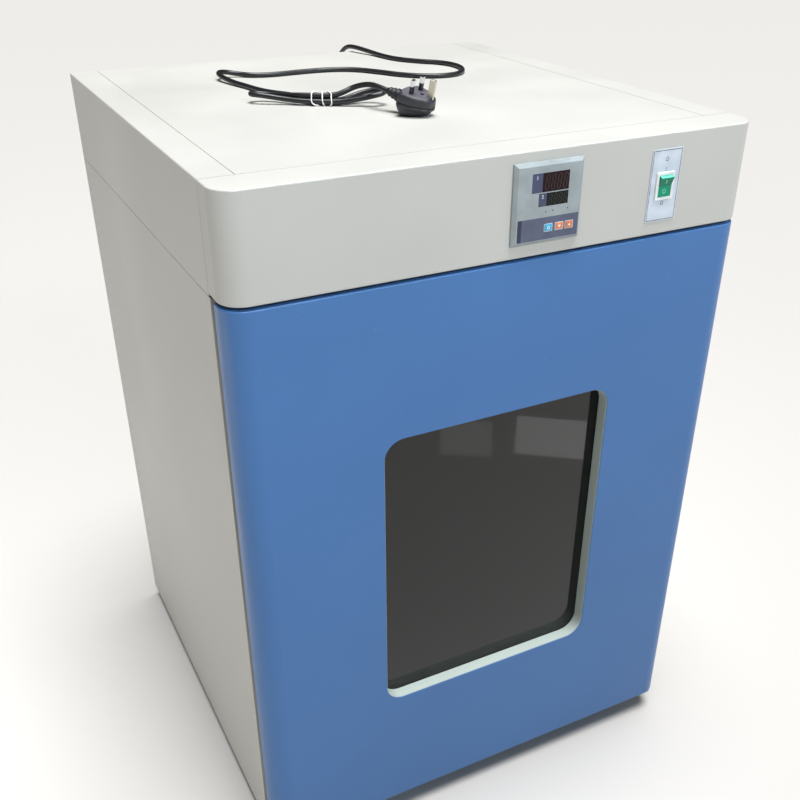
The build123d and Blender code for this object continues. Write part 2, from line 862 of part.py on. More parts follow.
def controller_displays():
    """The two display windows."""
    face = front - controller_proud
    return [block(x0, x1, face, face + display_depth, z0, z1) for x0, x1, z0, z1 in display_windows()]


def controller_case():
    """The controller's case behind the fascia."""
    half = controller_case_size / 2
    case = block(controller_x - half, controller_x + half, front, front + controller_case_depth,
                 controller_z - half, controller_z + half)
    return chamfer(case.edges().filter_by_position(Axis.Y, front + controller_case_depth - 0.1,
                                                   front + controller_case_depth + 0.1),
                   controller_case_chamfer)


def controller_key(column):
    """One sprung key of the controller."""
    face = front - controller_proud
    x = controller_x + column
    z = controller_z + key_row
    cap_piece = block(x - key_width / 2, x + key_width / 2, face - key_proud, face + key_depth,
                      z - key_height / 2, z + key_height / 2)
    rim = cap_piece.edges().filter_by_position(Axis.Y, face - key_proud - 0.01, face - key_proud + 0.01)
    return fillet(rim, 0.6)


def switch_plate():
    """The plate round the mains switch."""
    z = switch_z + switch_plate_rise
    plate = panel(switch_plate_width, switch_plate_height, 0.8, switch_x, z, front - switch_plate_thickness, front)
    half_width = housing_width / 2 + case_play
    half_height = housing_height / 2 + case_play
    return plate - block(switch_x - half_width, switch_x + half_width, front - 5, front + 1,
                         switch_z - half_height, switch_z + half_height)


def switch_housing():
    """The switch's bezel and body, hollowed for the rocker and its pivot."""
    rear = front - switch_plate_thickness
    body = panel(bezel_width, bezel_height, 1.2, switch_x, switch_z, switch_face, rear)
    body = fillet(body.edges().filter_by_position(Axis.Y, switch_face - 0.01, switch_face + 0.01), 0.7)
    body += block(switch_x - housing_width / 2, switch_x + housing_width / 2, rear - 0.5, rear + housing_depth,
                  switch_z - housing_height / 2, switch_z + housing_height / 2)
    reach = rocker_width / 2 + rocker_side_play
    rise = rocker_radius + rocker_end_play
    depth = rocker_radius * sin(asin(rocker_back / rocker_radius) + radians(rocker_slope)) + 1
    body -= block(switch_x - reach, switch_x + reach, switch_face - 1, rocker_y + depth, switch_z - rise, switch_z + rise)
    pin = rocker_width / 2 + rocker_pin_length + 0.2
    return body - rod((switch_x - pin, rocker_y, switch_z), (switch_x + pin, rocker_y, switch_z),
                      rocker_pin_radius + rocker_pin_play)


def power_rocker():
    """The rocker at rest with its lower end pressed in."""
    reach = rocker_radius + 2
    rise = rocker_centre + reach * tan(radians(rocker_slope))
    outline = Polyline((-reach, rise), (0, rocker_centre), (reach, rise), (reach, -rocker_back),
                       (-reach, -rocker_back), close=True)
    profile = make_face(outline) & Circle(rocker_radius)
    body = extrude(profile, rocker_width / 2, both=True)
    pin = rocker_width / 2 + rocker_pin_length
    pins = extrude(Circle(rocker_pin_radius), pin, both=True)
    neutral = body + pins
    stand = Plane((0, 0, 0), x_dir=(0, 0, 1), z_dir=(1, 0, 0))
    return Pos(switch_x, rocker_y, switch_z) * Rot(rocker_slope, 0, 0) * stand.location * neutral


def door_skin():
    """The painted outer shell of the door, with the window's opening and the hinge holes."""
    skin = front_shell(door_thickness, door_bottom, door_top)
    skin -= panel(window_width, window_height, window_radius, window_offset, window_z, front - 1, front + sheet + 1)
    for z in (door_bottom, door_top):
        skin -= rod((hinge_x, hinge_y, z - 2), (hinge_x, hinge_y, z + 2), bush_radius + bush_play)
    return skin


def glass_outline(y0, y1, grow):
    """A plate of the window's shape, grown on all sides."""
    return panel(window_width + 2 * grow, window_height + 2 * grow, window_radius + grow,
                 window_offset, window_z, y0, y1)


def collar(y0, y1, flange_y0, flange_y1, flange_width):
    """A tunnel round the window with a flange on one end."""
    width = window_width - 2 * reveal_step
    height = window_height - 2 * reveal_step
    radius = window_radius - reveal_step
    tunnel = ring(width, height, radius, reveal_wall, window_offset, window_z, y0, y1)
    return tunnel + ring(width, height, radius, flange_width, window_offset, window_z, flange_y0, flange_y1)


def window_frame():
    """The pale collar between the door's face and the outer glass."""
    rear = glass_front - glass_seal
    frame = collar(front + sheet, rear, rear - collar_sheet, rear, glass_overlap)
    return frame + collar(front + sheet, rear, front + sheet, front + sheet + collar_sheet, collar_flange)


def inner_window_frame():
    """The collar between the inner glass and the door's inner face."""
    seat = inner_glass_back + glass_seal
    frame = collar(seat, dike_front + sheet, dike_front, dike_front + sheet, collar_flange)
    return frame + collar(seat, dike_front, seat, seat + collar_sheet, glass_overlap)


def glass_seals():
    """Two flat seals and the spacer that keeps the panes apart."""
    grow = glass_overlap - seal_width
    pieces = []
    for y0, y1 in ((glass_front - glass_seal, glass_front), (glass_mid, inner_glass_front),
                   (inner_glass_back, inner_glass_back + glass_seal)):
        pieces.append(glass_outline(y0, y1, glass_overlap) - glass_outline(y0 - 1, y1 + 1, grow))
    return pieces


def door_liner():
    """The inner face of the door, with a raised field that enters the chamber's mouth."""
    height = door_top - door_bottom - 2 * sheet
    mid = (door_top + door_bottom) / 2
    liner = block(-inside, inside, door_back - sheet, door_back, mid - height / 2, mid + height / 2)
    liner -= panel(dike_width - 2 * sheet, dike_height - 2 * sheet, dike_radius - sheet, 0, chamber_mid,
                   door_back - 2 * sheet, door_back + 1)
    liner += ring(dike_width - 2 * sheet, dike_height - 2 * sheet, dike_radius - sheet, sheet, 0, chamber_mid,
                  door_back - sheet, dike_front)
    field = panel(dike_width, dike_height, dike_radius, 0, chamber_mid, dike_front - sheet, dike_front)
    grow = reveal_wall - reveal_step + insulation_play
    return liner + (field - glass_outline(door_back, dike_front + 1, grow))


def door_insulation():
    """The filling between the door's two faces, round the window."""
    low = door_bottom + sheet + insulation_play
    high = door_top - sheet - insulation_play
    fill = cap(sheet + insulation_play, door_thickness - sheet - insulation_play, low, high)
    inset = 2 * (sheet + insulation_play)
    fill += panel(dike_width - inset, dike_height - inset, dike_radius - inset / 2, 0, chamber_mid,
                  door_back - sheet - 2, dike_front - sheet - insulation_play)
    fill -= glass_outline(front, dike_front, collar_flange + insulation_play)
    depth = bush_length + insulation_play
    for z, inward in ((door_bottom, 1), (door_top, -1)):
        fill -= rod((hinge_x, hinge_y, z - inward), (hinge_x, hinge_y, z + inward * depth), bush_radius + insulation_play)
    return fill


def door_gasket():
    """The magnetic seal on the back of the door."""
    width = cabinet_width - 2 * gasket_margin - 2 * gasket_width
    mid = (chamber_floor + chamber_top) / 2
    height = chamber_height + width - chamber_width
    return ring(width, height, 6, gasket_width, 0, mid, door_back, body_front - gasket_clearance)


def hinge_bushes():
    """The collared bushes in the top and bottom of the door."""
    pieces = []
    for z, inward in ((door_bottom, 1), (door_top, -1)):
        collar_z = z - inward * bush_collar
        bush = rod((hinge_x, hinge_y, collar_z), (hinge_x, hinge_y, z), bush_collar_radius)
        bush += rod((hinge_x, hinge_y, collar_z), (hinge_x, hinge_y, z + inward * bush_length), bush_radius)
        far = z + inward * (bush_length + 1)
        bush -= rod((hinge_x, hinge_y, collar_z - inward), (hinge_x, hinge_y, far), pin_hole_radius)
        pieces.append(bush)
    return pieces


def hinge_bracket_bottom():
    """The lower hinge plate, its leg behind the front frame and its pin."""
    plate_top = door_bottom - bush_collar - bracket_play
    low = plate_top - bracket_thickness
    plate = block(bracket_left, bracket_right, front + bracket_front_gap, body_front - bracket_play, low, plate_top)
    corners = plate.edges().filter_by(Axis.Z).sort_by(Axis.Y)[:2]
    plate = fillet(corners, 6)
    right = inside - frame_sheet - bracket_play
    plate += block(bracket_left, min(right, bracket_right), body_front - 1, frame_back + bracket_thickness, low, plate_top)
    plate += block(bracket_left, min(right, bracket_right), frame_back, frame_back + bracket_thickness,
                   low, low + bracket_leg)
    for place in lower_hinge_screws:
        plate -= screw_hole(place, (0, -1, 0))
    return plate + rod((hinge_x, hinge_y, plate_top - 1), (hinge_x, hinge_y, plate_top + hinge_pin_length), hinge_pin_radius)


def hinge_bracket_top():
    """The upper hinge plate inside the fascia, its foot on the deck and its pin."""
    low = fascia_bottom + sheet + bracket_play
    high = low + bracket_thickness
    right = hinge_x + 10
    plate = block(bracket_left, right, front + 2 * bracket_front_gap, body_front, low, high)
    corners = plate.edges().filter_by(Axis.Z).sort_by(Axis.Y)[:2]
    plate = fillet(corners, 6)
    plate += block(bracket_left, right, body_front - bracket_thickness, body_front, deck_top, high)
    plate += block(bracket_left, right, body_front - bracket_thickness, body_front + bracket_foot,
                   deck_top, deck_top + bracket_thickness)
    for place in upper_hinge_screws:
        plate -= screw_hole(place, (0, 0, 1))
    end = door_top + bush_collar + bracket_play - hinge_pin_length
    return plate + rod((hinge_x, hinge_y, end), (hinge_x, hinge_y, low + 1), hinge_pin_radius)


def cabinet_screws():
    """The screws of the back, the hood and the hinge brackets."""
    pieces = [screw(place, (0, 1, 0)) for place in back_screws + hood_screws]
    pieces += [screw(place, (0, -1, 0)) for place in lower_hinge_screws]
    return pieces + [screw(place, (0, 0, 1)) for place in upper_hinge_screws]


def relay():
    """The solid-state relay on its finned heat sink."""
    y = front + relay_setback
    x0 = relay_x - relay_width / 2
    x1 = relay_x + relay_width / 2
    y0 = y - relay_depth / 2
    y1 = y + relay_depth / 2
    base = block(x0, x1, y0, y1, deck_top, deck_top + sink_height / 3)
    for index in range(sink_fins):
        share = index / (sink_fins - 1)
        x = x0 + share * (relay_width - sink_fin_thickness)
        base += block(x, x + sink_fin_thickness, y0, y1, deck_top, deck_top + sink_height)
    cover = deck_top + sink_height
    base += block(x0, x1, y0, y1, cover - 1, cover + 1)
    return base + block(x0 + 3, x1 - 3, y0 + 4, y1 - 4, cover, cover + relay_height)


def terminal_block():
    """The row of mains terminals, with a slot at each way."""
    x0 = terminal_x - terminal_width / 2
    y0 = terminal_y - terminal_depth / 2
    body = block(x0, x0 + terminal_width, y0, y0 + terminal_depth, deck_top, deck_top + terminal_height)
    pitch = terminal_width / terminal_ways
    for index in range(terminal_ways):
        x = x0 + pitch * (index + 0.5)
        body -= block(x - terminal_slot / 2, x + terminal_slot / 2, y0 + 4, y0 + terminal_depth - 4,
                      deck_top + terminal_height - 4, deck_top + terminal_height + 1)
    return body


def wiring_loom():
    """The cables between the cord's gland, the terminals, the controller, the switch, the relay and the fan."""
    low = terminal_mid
    near = terminal_y - terminal_depth / 2 - wire_end_gap
    far = terminal_y + terminal_depth / 2 + wire_end_gap
    left = terminal_x - terminal_width / 2 - wire_end_gap
    case_end = front + controller_case_depth + wire_end_gap
    switch_end = front - switch_plate_thickness + housing_depth + wire_end_gap
    relay_z = deck_top + sink_height + relay_height / 2
    relay_edge = relay_x + relay_width / 2 - 3 + wire_end_gap
    gland_end = back_inner - gland_nut_length - wire_end_gap
    cable_y = motor_front + motor_length / 2
    motor_z = chamber_mid + motor_radius + wire_end_gap
    runs = [
        [(terminal_x - 6, near, low), (terminal_x - 6, near - 160, low), (controller_x, case_end + controller_lead, controller_z),
         (controller_x, case_end, controller_z)],
        [(terminal_x + 20, near, low), (terminal_x + 20, near - 200, low), (switch_x, switch_end + switch_lead, switch_z),
         (switch_x, switch_end, switch_z)],
        [(terminal_x - 26, near, low), (terminal_x - 26, front + relay_setback, low),
         (terminal_x - 90, front + relay_setback + 8, relay_z), (relay_edge, front + relay_setback + 8, relay_z)],
        [(gland_x, gland_end, gland_z), (gland_x, gland_end - 26, gland_z), (gland_x, far + 22, low), (gland_x, far, low)],
        [(left, terminal_y, low), (0, terminal_y, low), (0, cable_y, low), (0, cable_y, motor_z)],
    ]
    pieces = []
    for points in runs:
        radii = [min(wire_bend, radius) for radius in corner_radii(points)]
        if points is runs[-1]:
            radii[-1] = wire_bend / 2
        pieces.append(tube(points, radii, wire_radius))
    return pieces


def cord_gland():
    """The gland in the hood's back with its tapered strain relief and inner nut."""
    end = back + gland_flange + gland_length
    piece = rod((gland_x, back, gland_z), (gland_x, back + gland_flange, gland_z), gland_flange_radius)
    piece += taper((gland_x, back + gland_flange, gland_z), (gland_x, end, gland_z), gland_root_radius, gland_tip_radius)
    piece += rod((gland_x, back_inner, gland_z), (gland_x, back, gland_z), gland_root_radius)
    return piece + rod((gland_x, back_inner - gland_nut_length, gland_z), (gland_x, back_inner, gland_z), gland_flange_radius)


def strand(along, across, height):
    """A place in the tied bundle, as distance right of the middle, behind the front and above the top."""
    turn = radians(tie_turn)
    x = tie_x + along * cos(turn) - across * sin(turn)
    y = tie_setback + along * sin(turn) + across * cos(turn)
    return (x, y, height)


def seen(place):
    """A place of the cord in the cabinet's frame."""
    x, y, z = place
    return (x, front + y, top + z)


# The plug's own frame: local x runs from the cord to the earth pin and local z along the pins
plug_ahead = Vector(cos(radians(plug_turn)), sin(radians(plug_turn)), 0)
plug_aside = Vector(-sin(radians(plug_turn)), cos(radians(plug_turn)), 0)
plug_up = Vector(0, 0, 1) + plug_ahead * tan(radians(plug_tilt)) - plug_aside * tan(radians(plug_roll))
plug_up = plug_up.normalized()
plug_frame = Plane(seen((plug_x, plug_setback, plug_face)), x_dir=plug_ahead - plug_up * plug_ahead.dot(plug_up),
                   z_dir=plug_up)


def plug_place(along, across, rise):
    """A place in the plug's own frame."""
    return tuple(plug_frame.from_local_coords(Vector(along, across, rise)))


half_spacing = strand_spacing / 2
third_height = strand_height + strand_spacing * sin(radians(60))
above_edge = 11.5

# The cord's line, from the gland over the back edge and over the top to the plug.
# Each place is the distance right of the middle, behind the front face and above the top.
cord_route = [
    (gland_x, cabinet_depth + gland_flange + gland_length, -gland_drop),
    (gland_x, cabinet_depth + 62, -gland_drop), (101, cabinet_depth + 78, -70), (104, cabinet_depth + 66, -40),
    (108, cabinet_depth + 34, -10), (111, cabinet_depth + 12, 10), (116, cabinet_depth - 12, above_edge),
    (128.7, 668.8, 5.5), (133.1, 632.5, cord_lay), (140.8, 594, cord_lay), (165, 558.8, cord_lay),
    (191.4, 534.6, cord_lay), (201.3, 497.2, cord_lay), (189.2, 456.5, cord_lay), (160.6, 431.2, cord_lay),
    (123.2, 433.4, cord_lay), (88, 459.8, cord_lay), (66, 500.5, cord_lay), (39.6, 540, cord_lay),
    (0, 556, cord_lay), (-46.2, 556, cord_lay), (-85.8, 552, cord_lay), (-118.8, 558.8, cord_lay),
    (-136.4, 576.4, 4.5), (-155.1, 581.9, 8), (-169.4, 569.8, 10), (-171.6, 554.4, 8), (-165, 519.2, 4.5),
    (-155, 481.8, cord_lay), (-149, 450, cord_lay), (-138, 423, cord_lay), (-124, 400, 4.2), (-118, 374, 5),
    strand(-tie_half, half_spacing, strand_height), strand(tie_half, half_spacing, strand_height),
    (-62, 325, 9.5), (-44, 322, 14), (-30, 314, 17), (-23, 303, 17.5), (-28, 292, 16.5), (-44, 294, 13.5),
    (-63, 304, 9),
    strand(tie_half, -half_spacing, strand_height), strand(-tie_half, -half_spacing, strand_height),
    (-146, 358, 7.5), (-165, 370, 10.5), (-177, 377, 12), (-183, 386, 12), (-178, 394, 11), (-166, 393, 10),
    (-152, 383, 9), (-136, 360, 11),
    strand(-tie_half, 0, third_height), strand(tie_half - 7, 0, third_height),
    (-75, 319, 16.8), (-62, 318, 22), (-53, 306, 26.5), (-49, 290, 29),
]
cord_points = [seen(place) for place in cord_route]
cord_points += [plug_place(boot_end - 18, 0, -boot_drop), plug_place(boot_end, 0, -boot_drop)]


def power_cord():
    """The mains cord from the gland's tip to the plug's boot."""
    return tube(cord_points, corner_radii(cord_points), cord_radius)


def cord_tie():
    """The wire tie: three turns round the bundle, the wire between them and the twisted ends."""
    around = cord_radius + tie_play + tie_wire
    reach = strand_spacing / sqrt(3) + 2 * around
    centre = strand_height + strand_spacing * sin(radians(60)) / 3
    turn = radians(tie_turn)
    middle = (tie_rings - 1) / 2
    turns = []
    for index in range(tie_rings):
        along = (index - middle) * tie_pitch
        place = Plane(seen(strand(along, 0, centre)), x_dir=(-sin(turn), cos(turn), 0), z_dir=(cos(turn), sin(turn), 0))
        outline = RegularPolygon(reach, 3, rotation=90)
        outline = fillet(outline.vertices(), around)
        path = (place * outline).wires()[0]
        turns.append(sweep(Plane(path @ 0, z_dir=path % 0) * Circle(tie_wire), path=path))
    low = centre - strand_spacing / (2 * sqrt(3)) - around
    start = seen(strand(-middle * tie_pitch, 0, low))
    wire = rod(start, seen(strand(middle * tie_pitch, 0, low)), tie_wire * 0.9)
    edge = half_spacing + around
    twist = rod(seen(strand(0, -edge, strand_height)),
                seen(strand(0, -edge - tie_twist_length, strand_height / 2)), tie_twist_radius)
    return wire + turns + twist


def plug_section(grow):
    """The plug's outline across its pins."""
    half = [(x + grow * (1 if x > 0 else -1), y + grow) for x, y in plug_outline]
    points = half + [(x, -y) for x, y in reversed(half)]
    outline = make_face(Polyline(*points, close=True))
    return fillet(outline.vertices(), plug_corner)


def line_pin_places():
    """The middles of the two line pins in the plug's frame."""
    return [(0, -pin_spacing / 2), (0, pin_spacing / 2)]


def plug_body():
    """The moulded plug: a body that rests on its back, pin sleeves and a ribbed boot."""
    body = extrude(plug_section(0), -2 * plug_face)
    body = chamfer(body.edges().filter_by_position(Axis.Z, -0.01, 0.01), plug_bevel)
    for x, y in line_pin_places():
        body += Pos(x, y, (sleeve_length - 1) / 2) * Box(line_pin_thickness, line_pin_width, sleeve_length + 1)
    body = plug_frame.location * body
    x, y, z = seen((plug_x, plug_setback, plug_rest))
    body &= block(x - 60, x + 60, y - 60, y + 60, z, z + 60)
    body = fillet(body.edges().filter_by_position(Axis.Z, z - 0.01, z + 0.01), plug_lower_edge)
    boot = taper((plug_outline[0][0] + 2, 0, -boot_drop), (boot_end, 0, -boot_drop), boot_root_radius, boot_tip_radius)
    for along, radius in boot_rings:
        boot += rod((along - boot_ring_length / 2, 0, -boot_drop), (along + boot_ring_length / 2, 0, -boot_drop), radius)
    groove = extrude(plug_section(1) - plug_section(-plug_groove), plug_groove)
    body -= plug_frame.location * Pos(0, 0, -plug_groove_drop) * groove
    body += plug_frame.location * boot
    hole = rod((plug_screw_place, 0, -plug_screw_depth), (plug_screw_place, 0, 1), plug_screw_radius)
    body -= plug_frame.location * hole
    for pin in plug_pins():
        body -= pin
    return body


def plug_pins():
    """Two line pins, thinner inside their sleeves, and the longer earth pin."""
    pins = []
    for x, y in line_pin_places():
        blade = Pos(x, y, (line_pin_length + sleeve_length) / 2)
        blade = blade * Box(line_pin_thickness, line_pin_width, line_pin_length - sleeve_length)
        blade = chamfer(blade.edges().filter_by_position(Axis.Z, line_pin_length - 0.01, line_pin_length + 0.01), pin_tip)
        core = Box(line_pin_thickness - 2 * pin_core, line_pin_width - 2 * pin_core, sleeve_length + pin_root + 0.2)
        pins.append(blade + Pos(x, y, (sleeve_length - pin_root + 0.2) / 2) * core)
    earth = Box(earth_pin_thickness, earth_pin_width, earth_pin_length + pin_root)
    earth = Pos(pin_spacing, 0, (earth_pin_length - pin_root) / 2) * earth
    tip = earth.edges().filter_by_position(Axis.Z, earth_pin_length - 0.01, earth_pin_length + 0.01)
    pins.append(chamfer(tip, pin_tip))
    return [plug_frame.location * pin for pin in pins]


def save(name, pieces):
    """Write one node's solids."""
    if not isinstance(pieces, list):
        pieces = [pieces]
    solids = [solid for piece in pieces for solid in piece.solids()]
    export_step(Compound(children=solids), f"parts/{name}.step")
    return solids


nodes = {
    "feet": feet(),
    "foot_bolts": foot_bolts(),
    "base_pan": base_pan(),
    "side_panel_left": side_panel(-1),
    "side_panel_right": side_panel(1),
    "back_panel": back_panel(),
    "front_frame": front_frame(),
    "control_deck": control_deck(),
    "chamber_side_walls": chamber_side_walls(),
    "chamber_floor": chamber_floor_sheet(),
    "chamber_ceiling": chamber_ceiling(),
    "chamber_back_wall": chamber_back_wall(),
    "air_baffle": air_baffle(),
    "insulation_sides": insulation_sides(),
    "insulation_bottom": insulation_bottom(),
    "insulation_top": insulation_top(),
    "insulation_back": insulation_back(),
    "heater_tube": heater_tube(),
    "fan_motor": fan_motor(),
    "fan_shaft": fan_shaft(),
    "fan_impeller": fan_impeller(),
    "temperature_sensor": temperature_sensor(),
    "shelf_runners": shelf_runners(),
    "shelf_lower": shelf(shelf_heights[0]),
    "shelf_upper": shelf(shelf_heights[1]),
    "hood_side_left": hood_side(-1),
    "hood_side_right": hood_side(1),
    "top_cover": top_cover(),
    "hood_back": hood_back(),
    "fascia": fascia(),
    "controller_bezel": controller_bezel(),
    "controller_displays": controller_displays(),
    "controller_case": controller_case(),
    "switch_plate": switch_plate(),
    "switch_housing": switch_housing(),
    "power_rocker": power_rocker(),
    "door_skin": door_skin(),
    "door_liner": door_liner(),
    "door_insulation": door_insulation(),
    "window_frame": window_frame(),
    "inner_window_frame": inner_window_frame(),
    "outer_glass": glass_outline(glass_front, glass_mid, glass_overlap),
    "inner_glass": glass_outline(inner_glass_front, inner_glass_back, glass_overlap),
    "glass_seals": glass_seals(),
    "door_gasket": door_gasket(),
    "hinge_bushes": hinge_bushes(),
    "hinge_bracket_bottom": hinge_bracket_bottom(),
    "hinge_bracket_top": hinge_bracket_top(),
    "cabinet_screws": cabinet_screws(),
    "relay": relay(),
    "terminal_block": terminal_block(),
    "wiring_loom": wiring_loom(),
    "cord_gland": cord_gland(),
}
nodes["power_cord"] = power_cord()
nodes["cord_tie"] = cord_tie()
nodes["plug_body"] = plug_body()
nodes["plug_pins"] = plug_pins()
for name, column in key_columns.items():
    nodes[name] = controller_key(column)

os.makedirs("parts", exist_ok=True)
for name, pieces in nodes.items():
    save(name, pieces)
print(len(nodes), "nodes")
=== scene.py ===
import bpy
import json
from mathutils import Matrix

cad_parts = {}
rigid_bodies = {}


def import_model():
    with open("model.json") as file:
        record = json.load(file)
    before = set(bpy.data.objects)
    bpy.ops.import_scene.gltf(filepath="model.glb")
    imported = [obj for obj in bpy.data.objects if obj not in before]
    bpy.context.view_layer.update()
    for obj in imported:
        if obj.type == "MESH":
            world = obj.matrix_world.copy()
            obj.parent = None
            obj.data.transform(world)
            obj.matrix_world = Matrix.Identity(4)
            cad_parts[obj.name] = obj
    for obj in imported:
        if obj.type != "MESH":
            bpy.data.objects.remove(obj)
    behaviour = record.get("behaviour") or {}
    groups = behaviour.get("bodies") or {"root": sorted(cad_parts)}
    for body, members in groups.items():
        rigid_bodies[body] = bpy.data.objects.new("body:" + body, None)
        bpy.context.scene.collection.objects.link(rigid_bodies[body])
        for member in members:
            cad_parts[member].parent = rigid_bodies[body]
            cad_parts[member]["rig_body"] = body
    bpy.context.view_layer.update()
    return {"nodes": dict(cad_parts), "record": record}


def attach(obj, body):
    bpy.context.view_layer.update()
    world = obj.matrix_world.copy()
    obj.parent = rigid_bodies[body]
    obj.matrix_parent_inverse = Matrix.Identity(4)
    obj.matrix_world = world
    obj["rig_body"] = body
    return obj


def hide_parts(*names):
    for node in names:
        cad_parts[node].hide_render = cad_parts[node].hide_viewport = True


bl_info = {
    "name": "Laboratory incubator",
    "version": (1, 0, 0),
    "blender": (4, 5, 0),
    "location": "3D View > Sidebar > Incubator",
    "description": "Dresses the packed incubator with its finishes, cord, plug and printed faces",
    "category": "Object",
}

import json
from math import cos, pi, radians, sin

import bmesh
import bpy
from bpy.props import FloatProperty, FloatVectorProperty, IntProperty, PointerProperty
from mathutils import Matrix, Vector

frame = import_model()
nodes = frame["nodes"]

# The cord's line from its gland, over the back edge, through the tied bundle and to the plug
CORD_ROUTE = [
    (0.1000, 0.3961, 0.9230), (0.1000, 0.4251, 0.9230), (0.1010, 0.4411, 0.9450),
    (0.1040, 0.4291, 0.9750), (0.1080, 0.3971, 1.0050), (0.1110, 0.3751, 1.0215),
    (0.1160, 0.3511, 1.0240), (0.1287, 0.3119, 1.0200), (0.1331, 0.2756, 1.0187),
    (0.1408, 0.2371, 1.0187), (0.1650, 0.2019, 1.0187), (0.1914, 0.1777, 1.0187),
    (0.2013, 0.1403, 1.0187), (0.1892, 0.0996, 1.0187), (0.1606, 0.0743, 1.0187),
    (0.1232, 0.0765, 1.0187), (0.0880, 0.1029, 1.0187), (0.0660, 0.1436, 1.0187),
    (0.0396, 0.1831, 1.0187), (0.0000, 0.1991, 1.0187), (-0.0462, 0.1991, 1.0187),
    (-0.0858, 0.1951, 1.0187), (-0.1188, 0.2019, 1.0187), (-0.1364, 0.2195, 1.0195),
    (-0.1551, 0.2250, 1.0230), (-0.1694, 0.2129, 1.0250), (-0.1716, 0.1975, 1.0230),
    (-0.1650, 0.1623, 1.0195), (-0.1550, 0.1249, 1.0187), (-0.1490, 0.0931, 1.0187),
    (-0.1380, 0.0661, 1.0187), (-0.1240, 0.0431, 1.0192), (-0.1180, 0.0171, 1.0200),
    (-0.1207, -0.0094, 1.0204), (-0.0792, -0.0334, 1.0204), (-0.0620, -0.0319, 1.0245),
    (-0.0440, -0.0349, 1.0290), (-0.0300, -0.0429, 1.0320), (-0.0230, -0.0539, 1.0325),
    (-0.0280, -0.0649, 1.0315), (-0.0440, -0.0629, 1.0285), (-0.0630, -0.0529, 1.0240),
    (-0.0833, -0.0405, 1.0204), (-0.1248, -0.0165, 1.0204), (-0.1460, 0.0011, 1.0225),
    (-0.1650, 0.0131, 1.0255), (-0.1770, 0.0201, 1.0270), (-0.1830, 0.0291, 1.0270),
    (-0.1780, 0.0371, 1.0260), (-0.1660, 0.0361, 1.0250), (-0.1520, 0.0261, 1.0240),
    (-0.1360, 0.0031, 1.0260), (-0.1228, -0.0129, 1.0275), (-0.0873, -0.0334, 1.0275),
    (-0.0750, -0.0379, 1.0318), (-0.0620, -0.0389, 1.0370), (-0.0530, -0.0509, 1.0415),
    (-0.0490, -0.0669, 1.0440), (-0.0478, -0.0825, 1.0446), (-0.0388, -0.0975, 1.0405),
]
CORD_RADIUS = 0.0035

# The tied bundle: its middle on the top, the way it runs and the strands in it
TIE_MIDDLE = Vector((-0.102, -0.0249, 1.015))
TIE_TURN = radians(-30)
STRAND_SPACING = 0.0082
STRAND_HEIGHT = 0.0054

# The plug's own frame: x from the cord to the earth pin, z along the pins
PLUG_ORIGIN = Vector((-0.0173, -0.13464, 1.0439))
PLUG_X = Vector((0.5006, -0.8356, -0.2262)).normalized()
PLUG_Z = Vector((0.0746, -0.2186, 0.973)).normalized()
PLUG_Y = PLUG_Z.cross(PLUG_X).normalized()
PLUG_FRAME = Matrix.Translation(PLUG_ORIGIN) @ Matrix((PLUG_X, PLUG_Y, PLUG_Z)).transposed().to_4x4()


def linear(red, green, blue):
    """A screen colour from 0 to 255 as the linear colour that shaders take."""
    def channel(value):
        value = value / 255
        return value / 12.92 if value <= 0.04045 else ((value + 0.055) / 1.055) ** 2.4
    return (channel(red), channel(green), channel(blue), 1.0)


# Settings that a user would change


class CabinetSettings(bpy.types.PropertyGroup):
    """Colours and surface of the painted cabinet."""
    grey: FloatVectorProperty(name="Grey paint", description="Colour of the cabinet's powder coat",
                              default=linear(192, 191, 186), size=4, subtype="COLOR", min=0, max=1)
    blue: FloatVectorProperty(name="Blue paint", description="Colour of the door's powder coat",
                              default=linear(72, 116, 172), size=4, subtype="COLOR", min=0, max=1)
    collar: FloatVectorProperty(name="Window collar", description="Colour of the window's pale surround",
                                default=linear(184, 196, 190), size=4, subtype="COLOR", min=0, max=1)
    peel_scale: FloatProperty(name="Orange peel", description="Bumps of the powder coat in each metre",
                              default=420.0, min=50.0, max=3000.0)
    peel_depth: FloatProperty(name="Peel depth", description="Height of the powder coat's bumps",
                              default=0.0003, min=0.0, max=0.001, subtype="DISTANCE", unit="LENGTH",
                              precision=5)


class CordSettings(bpy.types.PropertyGroup):
    """The mains cord, its tie and its plug."""
    radius: FloatProperty(name="Cord radius", description="Half the cord's thickness",
                          default=CORD_RADIUS, min=0.001, max=0.01, subtype="DISTANCE", unit="LENGTH",
                          precision=4)
    length: FloatProperty(name="Cord length", description="Length from the gland to the plug's boot",
                          default=1.63, min=0.5, max=5.0, subtype="DISTANCE", unit="LENGTH")
    tie_wire: FloatProperty(name="Tie wire", description="Radius of the tie's wire",
                            default=0.0008, min=0.0002, max=0.002, subtype="DISTANCE", unit="LENGTH",
                            precision=4)
    tie_turns: IntProperty(name="Tie turns", description="Turns of the tie round the bundle",
                           default=3, min=1, max=8)
    plug: FloatVectorProperty(name="Plug", description="Colour of the plug's body",
                              default=linear(46, 46, 52), size=4, subtype="COLOR", min=0, max=1)


class ControlSettings(bpy.types.PropertyGroup):
    """The controller and the mains switch."""
    face: FloatVectorProperty(name="Controller face", description="Colour of the controller's front",
                              default=linear(150, 159, 162), size=4, subtype="COLOR", min=0, max=1)
    # The band's colour is its own dark navy lifted by a painted reflection of the film over the controller's face.
    band: FloatVectorProperty(name="Key band", description="Colour of the band round the keys",
                              default=linear(84, 90, 112), size=4, subtype="COLOR", min=0, max=1)
    digits: IntProperty(name="Digits", description="Digits in each display", default=4, min=1, max=6)
    rocker: FloatVectorProperty(name="Rocker", description="Colour of the switch's rocker",
                                default=linear(8, 122, 92), size=4, subtype="COLOR", min=0, max=1)


